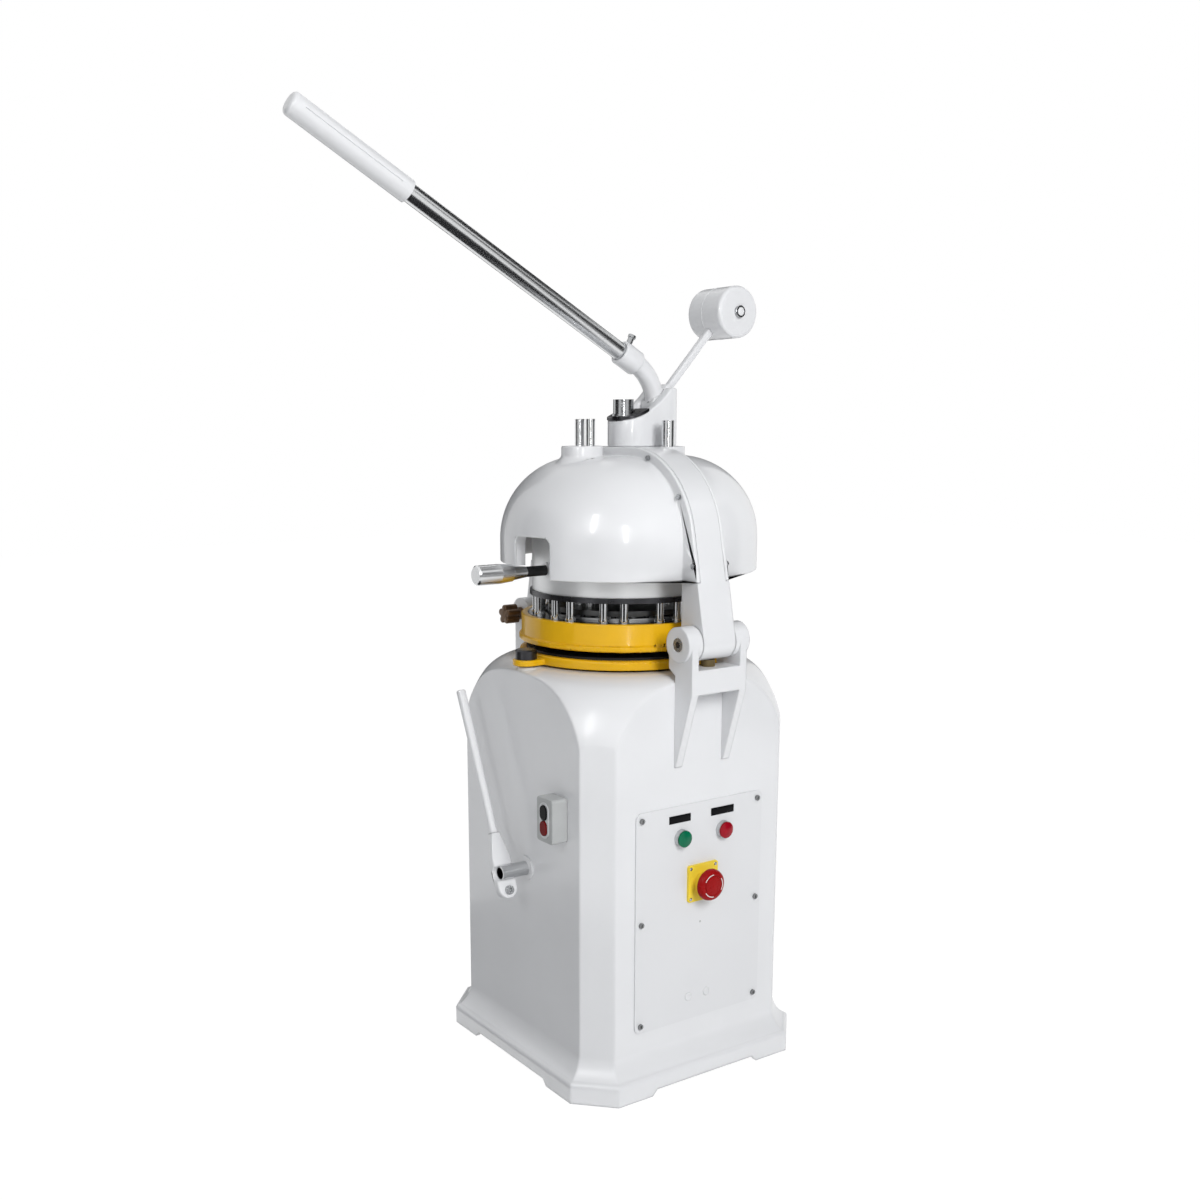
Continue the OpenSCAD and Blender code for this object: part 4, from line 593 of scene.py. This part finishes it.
lip = bmesh.new()
row = [
    lip.verts.new((x, COVER_Y - math.sqrt(COVER_R ** 2 - x ** 2) + LIP_SINK, z))
    for x, z in notch_path()
]
rail = [lip.edges.new((row[i], row[i + 1])) for i in range(len(row) - 1)]
made = bmesh.ops.extrude_edge_only(lip, edges=rail)
inner = [g for g in made["geom"] if isinstance(g, bmesh.types.BMVert)]
bmesh.ops.translate(lip, vec=(0.0, LIP_DEPTH, 0.0), verts=inner)
bmesh.ops.recalc_face_normals(lip, faces=lip.faces[:])
top = max(lip.faces, key=lambda f: f.calc_center_median().z)
if top.normal.z < 0:
    bmesh.ops.reverse_faces(lip, faces=lip.faces[:])
bmesh.ops.solidify(lip, geom=lip.faces[:], thickness=-LIP_T)
bmesh.ops.recalc_face_normals(lip, faces=lip.faces[:])
lip_mesh = bpy.data.meshes.new("notch_lip")
lip.to_mesh(lip_mesh)
lip.free()
notch_lip = bpy.data.objects.new("notch_lip", lip_mesh)
scene.collection.objects.link(notch_lip)
lip_mesh.materials.append(finishes["white_paint"])
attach(notch_lip, "head")
print("lip:", [round(v, 4) for v in (*notch_lip.bound_box[0], *notch_lip.bound_box[6])])

# %% [markdown]
# ## Devices on the panel
#
# Most small pieces are turned: a half section is spun once around its axis. One helper makes such
# a shape from a list of points given as distance along the axis and radius. Another dresses a
# shape and lets it ride on a body.

# %% Helpers for own and turned pieces
TURN_STEPS = 72
AXES = {
    "X": ((1, 0, 0), (0, 0, 1)), "Y": ((0, 1, 0), (0, 0, 1)), "Z": ((0, 0, 1), (1, 0, 0)),
}


def middle_of(low, high):
    """Middle of a box that is given by two corners."""
    return [(a + b) / 2 for a, b in zip(low, high)]


def own_piece(name, shape, finish, body, smooth=35.0):
    """Makes an object of a bmesh, dresses it and lets it ride on a body."""
    mesh = bpy.data.meshes.new(name)
    shape.to_mesh(mesh)
    shape.free()
    mesh.polygons.foreach_set("use_smooth", [True] * len(mesh.polygons))
    mesh.set_sharp_from_angle(angle=math.radians(smooth))
    mesh.materials.append(finish)
    piece = bpy.data.objects.new(name, mesh)
    scene.collection.objects.link(piece)
    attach(piece, body)
    print(name, "faces:", len(mesh.polygons))
    return piece


def turned(section, centre, axis="X", steps=TURN_STEPS):
    """Spins a half section, given as (along, radius), around an axis through the centre."""
    shape = bmesh.new()
    along, out = (Vector(v) for v in AXES[axis])
    middle = Vector(centre)
    row = [shape.verts.new(middle + along * a + out * r) for a, r in section]
    rim = [shape.edges.new((row[i], row[i + 1])) for i in range(len(row) - 1)]
    bmesh.ops.spin(
        shape, geom=row + rim, cent=middle, axis=along, angle=2 * math.pi, steps=steps,
        use_merge=True, use_duplicate=False)
    bmesh.ops.remove_doubles(shape, verts=shape.verts[:], dist=MERGE)
    bmesh.ops.recalc_face_normals(shape, faces=shape.faces[:])
    return shape


print("turning axes:", list(AXES))

# %% [markdown]
# The mushroom of the emergency stop is one turned moulding: a flat rim, a rounded shoulder and a
# shallow groove around the crown.

# %% Emergency stop
PANEL_X = 0.252
head_low, head_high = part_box("estop_head")
STOP_AT = (0.0, *middle_of(head_low, head_high)[1:])
STOP_SECTION = [
    (0.2600, 0.0), (0.2600, 0.0105), (0.2740, 0.0105), (0.2740, 0.0295), (0.2755, 0.0310),
    (0.2795, 0.0310), (0.2835, 0.0298), (0.2862, 0.0270), (0.2876, 0.0230), (0.2876, 0.0205),
    (0.2866, 0.0198), (0.2866, 0.0188), (0.2877, 0.0182), (0.2885, 0.0120), (0.2889, 0.0),
]
stop_mushroom = own_piece(
    "stop_mushroom", turned(STOP_SECTION, STOP_AT), finishes["red_plastic"], "stop_head")
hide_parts("estop_head")

# %% [markdown]
# Three plain pale arcs lie on the mushroom, on the flat ring outside its groove. Each is a small
# rectangle that is extruded step by step through part of a turn.

# %% Marks on the mushroom
MARK_X, MARK_R, MARK_W, MARK_T = 0.2874, 0.0212, 0.0016, 0.0006
MARKS, MARK_SWEEP = 3, 62
FINE_MERGE = 1e-6


def part_ring(centre, x, radius, width, thick, start, sweep, steps=14):
    """A flat arc around the X axis, made by turning a small rectangle in steps."""
    shape = bmesh.new()
    middle = Vector(centre)
    corners = []
    for dx, dr in ((0, 0), (thick, 0), (thick, width), (0, width)):
        at = Matrix.Rotation(start, 3, "X") @ Vector((0.0, 0.0, radius + dr))
        corners.append(shape.verts.new(middle + Vector((x + dx, 0.0, 0.0)) + at))
    end = shape.faces.new(corners)
    made = bmesh.ops.extrude_face_region(shape, geom=[end])
    moved = [g for g in made["geom"] if isinstance(g, bmesh.types.BMVert)]
    step = sweep / steps
    for i in range(steps):
        bmesh.ops.rotate(shape, cent=middle, matrix=Matrix.Rotation(step, 3, "X"), verts=moved)
        if i < steps - 1:
            face = next(f for f in shape.faces if all(v in moved for v in f.verts))
            made = bmesh.ops.extrude_face_region(shape, geom=[face])
            bmesh.ops.delete(shape, geom=[face], context="FACES_ONLY")
            moved = [g for g in made["geom"] if isinstance(g, bmesh.types.BMVert)]
    bmesh.ops.remove_doubles(shape, verts=shape.verts[:], dist=FINE_MERGE)
    bmesh.ops.recalc_face_normals(shape, faces=shape.faces[:])
    return shape


finishes["mark_white"] = finish_of(
    "mark_white", (0.72, 0.70, 0.68), 0.5, drift=0.05, drift_scale=80.0)
for k in range(MARKS):
    start, sweep = math.radians(360 / MARKS * k), math.radians(MARK_SWEEP)
    own_piece(
        "stop_mark_%d" % (k + 1),
        part_ring(STOP_AT, MARK_X, MARK_R, MARK_W, MARK_T, start, sweep),
        finishes["mark_white"], "stop_head")

# %% [markdown]
# Two bare black plates sit above the lamps, and two painted plugs close holes near the panel's
# lower edge. A small grey dot below the stop is painted shade that stands for one more spare
# hole. Plates are boxes with a rounded rim, plugs are turned. All of them are sunk a little into
# the panel.

# %% Plates and plugs
SINK = 0.0003
PLATE_Y = ((-0.078, -0.026), (0.025, 0.082))
PLATE_Z = (0.5245, 0.5395)
PLATE_T, PLATE_EDGE = 0.0012, 0.0004
PLUG_Y, PLUG_Z = (-0.025, 0.021), 0.167
SPARE_Y, SPARE_Z = 0.002, 0.316


def plate(low, high, edge, segments=3):
    """A box between two corners with rounded edges."""
    shape = bmesh.new()
    bmesh.ops.create_cube(shape, size=1.0)
    low, high = Vector(low), Vector(high)
    size = Matrix.Diagonal((*(high - low), 1.0))
    place = Matrix.Translation((low + high) / 2) @ size
    bmesh.ops.transform(shape, matrix=place, verts=shape.verts)
    bmesh.ops.bevel(
        shape, geom=shape.edges[:], offset=edge, offset_type="OFFSET", segments=segments,
        profile=0.5, affect="EDGES", material=-1)
    return shape


for k, (y0, y1) in enumerate(PLATE_Y):
    low, high = (PANEL_X - SINK, y0, PLATE_Z[0]), (PANEL_X + PLATE_T, y1, PLATE_Z[1])
    own_piece(
        "name_plate_%d" % (k + 1), plate(low, high, PLATE_EDGE),
        finishes["gloss_black"], "pedestal")

PLUG_SECTION = [
    (-SINK, 0.0), (-SINK, 0.0085), (0.0010, 0.0085), (0.0022, 0.0075), (0.0026, 0.0060),
    (0.0016, 0.0052), (0.0016, 0.0),
]
for k, y in enumerate(PLUG_Y):
    own_piece(
        "panel_plug_%d" % (k + 1), turned(PLUG_SECTION, (PANEL_X, y, PLUG_Z), steps=36),
        finishes["panel_paint"], "pedestal")
SPARE_SECTION = [(-SINK, 0.0), (-SINK, 0.0022), (0.0002, 0.0022), (0.0002, 0.0)]
# The grey dot is painted shade of a spare hole.
own_piece(
    "spare_hole_shade", turned(SPARE_SECTION, (PANEL_X, SPARE_Y, SPARE_Z), steps=24),
    finishes["grey_box"], "pedestal")

# %% [markdown]
# Four small screws hold the yellow plate of the stop. Their heads are turned domes.

# %% Screws of the stop's plate
STOP_PLATE_T = 0.005
STOP_FACE = PANEL_X + STOP_PLATE_T
SCREW_OUT = 0.0305
HEAD_SECTION = [
    (-SINK, 0.0), (-SINK, 0.0034), (0.0006, 0.0034), (0.0014, 0.0026), (0.0017, 0.0014),
    (0.0017, 0.0),
]
for k, (dy, dz) in enumerate(((-1, -1), (-1, 1), (1, -1), (1, 1))):
    at = (STOP_FACE, STOP_AT[1] + dy * SCREW_OUT, STOP_AT[2] + dz * SCREW_OUT)
    own_piece(
        "stop_screw_head_%d" % (k + 1), turned(HEAD_SECTION, at, steps=24),
        finishes["bright_steel"], "pedestal")

# %% [markdown]
# ## Face of the push button box
#
# The grey box carries a pale faceplate with an oval opening for each button. The plate starts as
# a filled outline with two holes in it, which is then given its thickness.

# %% Faceplate
BOX_X, BOX_Z, BOX_FACE = 0.138, 0.540, -0.284
FACE_HALF_W, FACE_HALF_H = 0.0155, 0.0350
FACE_SINK, FACE_T = 0.0002, 0.0016
HOLE_CLEAR = 0.0012


def oval(centre_x, centre_z, half_w, half_h, steps=40):
    """Points of an upright oval whose ends are half circles."""
    points = []
    for i in range(steps):
        a = 2 * math.pi * i / steps
        lift = (half_h - half_w) * (1 if math.sin(a) >= 0 else -1)
        points.append((centre_x + half_w * math.cos(a), centre_z + lift + half_w * math.sin(a)))
    return points


def ring_of(shape, points, y):
    """A closed loop of edges at a height along Y."""
    row = [shape.verts.new((x, y, z)) for x, z in points]
    return [shape.edges.new((row[i], row[(i + 1) % len(row)])) for i in range(len(row))]


def faceplate(outline, holes, y, thick):
    """A plate with holes: filled outline, then extruded towards the operator."""
    shape = bmesh.new()
    loops = ring_of(shape, outline, y)
    for hole in holes:
        loops += ring_of(shape, hole, y)
    bmesh.ops.triangle_fill(shape, use_beauty=True, use_dissolve=False, edges=loops)
    made = bmesh.ops.extrude_face_region(shape, geom=shape.faces[:])
    top = [g for g in made["geom"] if isinstance(g, bmesh.types.BMVert)]
    bmesh.ops.translate(shape, vec=(0.0, -thick, 0.0), verts=top)
    bmesh.ops.recalc_face_normals(shape, faces=shape.faces[:])
    return shape


finishes["pale_plate"] = finish_of(
    "pale_plate", (0.60, 0.61, 0.62), 0.35, drift=0.03, drift_scale=60.0)
button_holes = []
for node_name in ("start_button", "stop_button"):
    low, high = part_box(node_name)
    hole_x, _, hole_z = middle_of(low, high)
    half_w, half_h = (high[0] - low[0]) / 2, (high[2] - low[2]) / 2
    button_holes.append(oval(hole_x, hole_z, half_w + HOLE_CLEAR, half_h + HOLE_CLEAR))
face_outline = oval(BOX_X, BOX_Z, FACE_HALF_W, FACE_HALF_H)
own_piece(
    "button_faceplate", faceplate(face_outline, button_holes, BOX_FACE + FACE_SINK, FACE_T),
    finishes["pale_plate"], "pedestal")

# %% [markdown]
# ## Fasteners
#
# The hinge pin is a large socket screw: a thin dark disc with six sides on its end reads as the
# socket, its dark colour painted shade of the recess. The shaft of the rounding lever has a bored
# end, and a thin black cup inside it is painted shade that darkens the bore.

# %% Socket and bore
SOCKET_R, SOCKET_SIDES, SOCKET_OUT = 0.0055, 6, 0.0003
SOCKET_SECTION = [(-0.0002, 0.0), (-0.0002, SOCKET_R), (0.0004, SOCKET_R), (0.0004, 0.0)]
pin_low, pin_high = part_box("hinge_pin")
PIN_X, _, PIN_Z = middle_of(pin_low, pin_high)
socket_at = (PIN_X, pin_low[1] - SOCKET_OUT, PIN_Z)
# The dark six-sided disc is painted shade that stands for the socket's recess.
own_piece(
    "pin_socket_shade", turned(SOCKET_SECTION, socket_at, "Y", steps=SOCKET_SIDES),
    finishes["black_plastic"], "pedestal", smooth=20.0)

shaft_low, shaft_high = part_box("rounding_shaft")
SHAFT_X, _, SHAFT_Z = middle_of(shaft_low, shaft_high)
BORE_R, BORE_T = 0.0113, 0.0006
BORE_START, BORE_END = 0.0008, 0.0135
BORE_SECTION = [
    (BORE_START, BORE_R), (BORE_END, BORE_R), (BORE_END, 0.0), (BORE_END - BORE_T, 0.0),
    (BORE_END - BORE_T, BORE_R - BORE_T), (BORE_START, BORE_R - BORE_T), (BORE_START, BORE_R),
]
# The black cup is painted shade inside the bore.
own_piece(
    "shaft_bore_shade", turned(BORE_SECTION, (SHAFT_X, shaft_low[1], SHAFT_Z), "Y", steps=48),
    finishes["gloss_black"], "rounding_lever")

# %% [markdown]
# The weight is held by a painted screw on a steel washer in its end face, and a fine raised line
# runs round it where its two halves meet.

# %% Screw and seam of the weight
weight_low, weight_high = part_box("counterweight")
_, WEIGHT_Y, WEIGHT_Z = middle_of(weight_low, weight_high)
WASHER_R, HEAD_R = 0.0120, 0.0080
WASHER_SECTION = [
    (-0.0060, 0.0), (-0.0060, WASHER_R), (0.0004, WASHER_R), (0.0010, WASHER_R - 0.0008),
    (0.0010, 0.0),
]
own_piece(
    "weight_washer", turned(WASHER_SECTION, (weight_high[0], WEIGHT_Y, WEIGHT_Z), steps=48),
    finishes["bright_steel"], "main_lever")
SCREW_SECTION = [
    (0.0006, 0.0), (0.0006, HEAD_R), (0.0018, HEAD_R), (0.0030, HEAD_R - 0.0016),
    (0.0036, HEAD_R - 0.0040), (0.0038, 0.0),
]
own_piece(
    "weight_screw", turned(SCREW_SECTION, (weight_high[0], WEIGHT_Y, WEIGHT_Z), steps=48),
    finishes["white_paint"], "main_lever")

WEIGHT_R = (weight_high[2] - weight_low[2]) / 2
SEAM_SHARE = 0.42
SEAM_FOOT, SEAM_CROWN = 0.0008, 0.0004
SEAM_SUNK_R, SEAM_TOP_R = WEIGHT_R - 0.002, WEIGHT_R + 0.0005
SEAM_X = weight_low[0] + SEAM_SHARE * (weight_high[0] - weight_low[0])
SEAM_SECTION = [
    (SEAM_X - SEAM_FOOT, SEAM_SUNK_R), (SEAM_X - SEAM_FOOT, WEIGHT_R),
    (SEAM_X - SEAM_CROWN, SEAM_TOP_R), (SEAM_X + SEAM_CROWN, SEAM_TOP_R),
    (SEAM_X + SEAM_FOOT, WEIGHT_R), (SEAM_X + SEAM_FOOT, SEAM_SUNK_R),
    (SEAM_X - SEAM_FOOT, SEAM_SUNK_R),
]
own_piece(
    "weight_seam", turned(SEAM_SECTION, (0.0, WEIGHT_Y, WEIGHT_Z), steps=96),
    finishes["white_paint"], "main_lever")
print("details done")
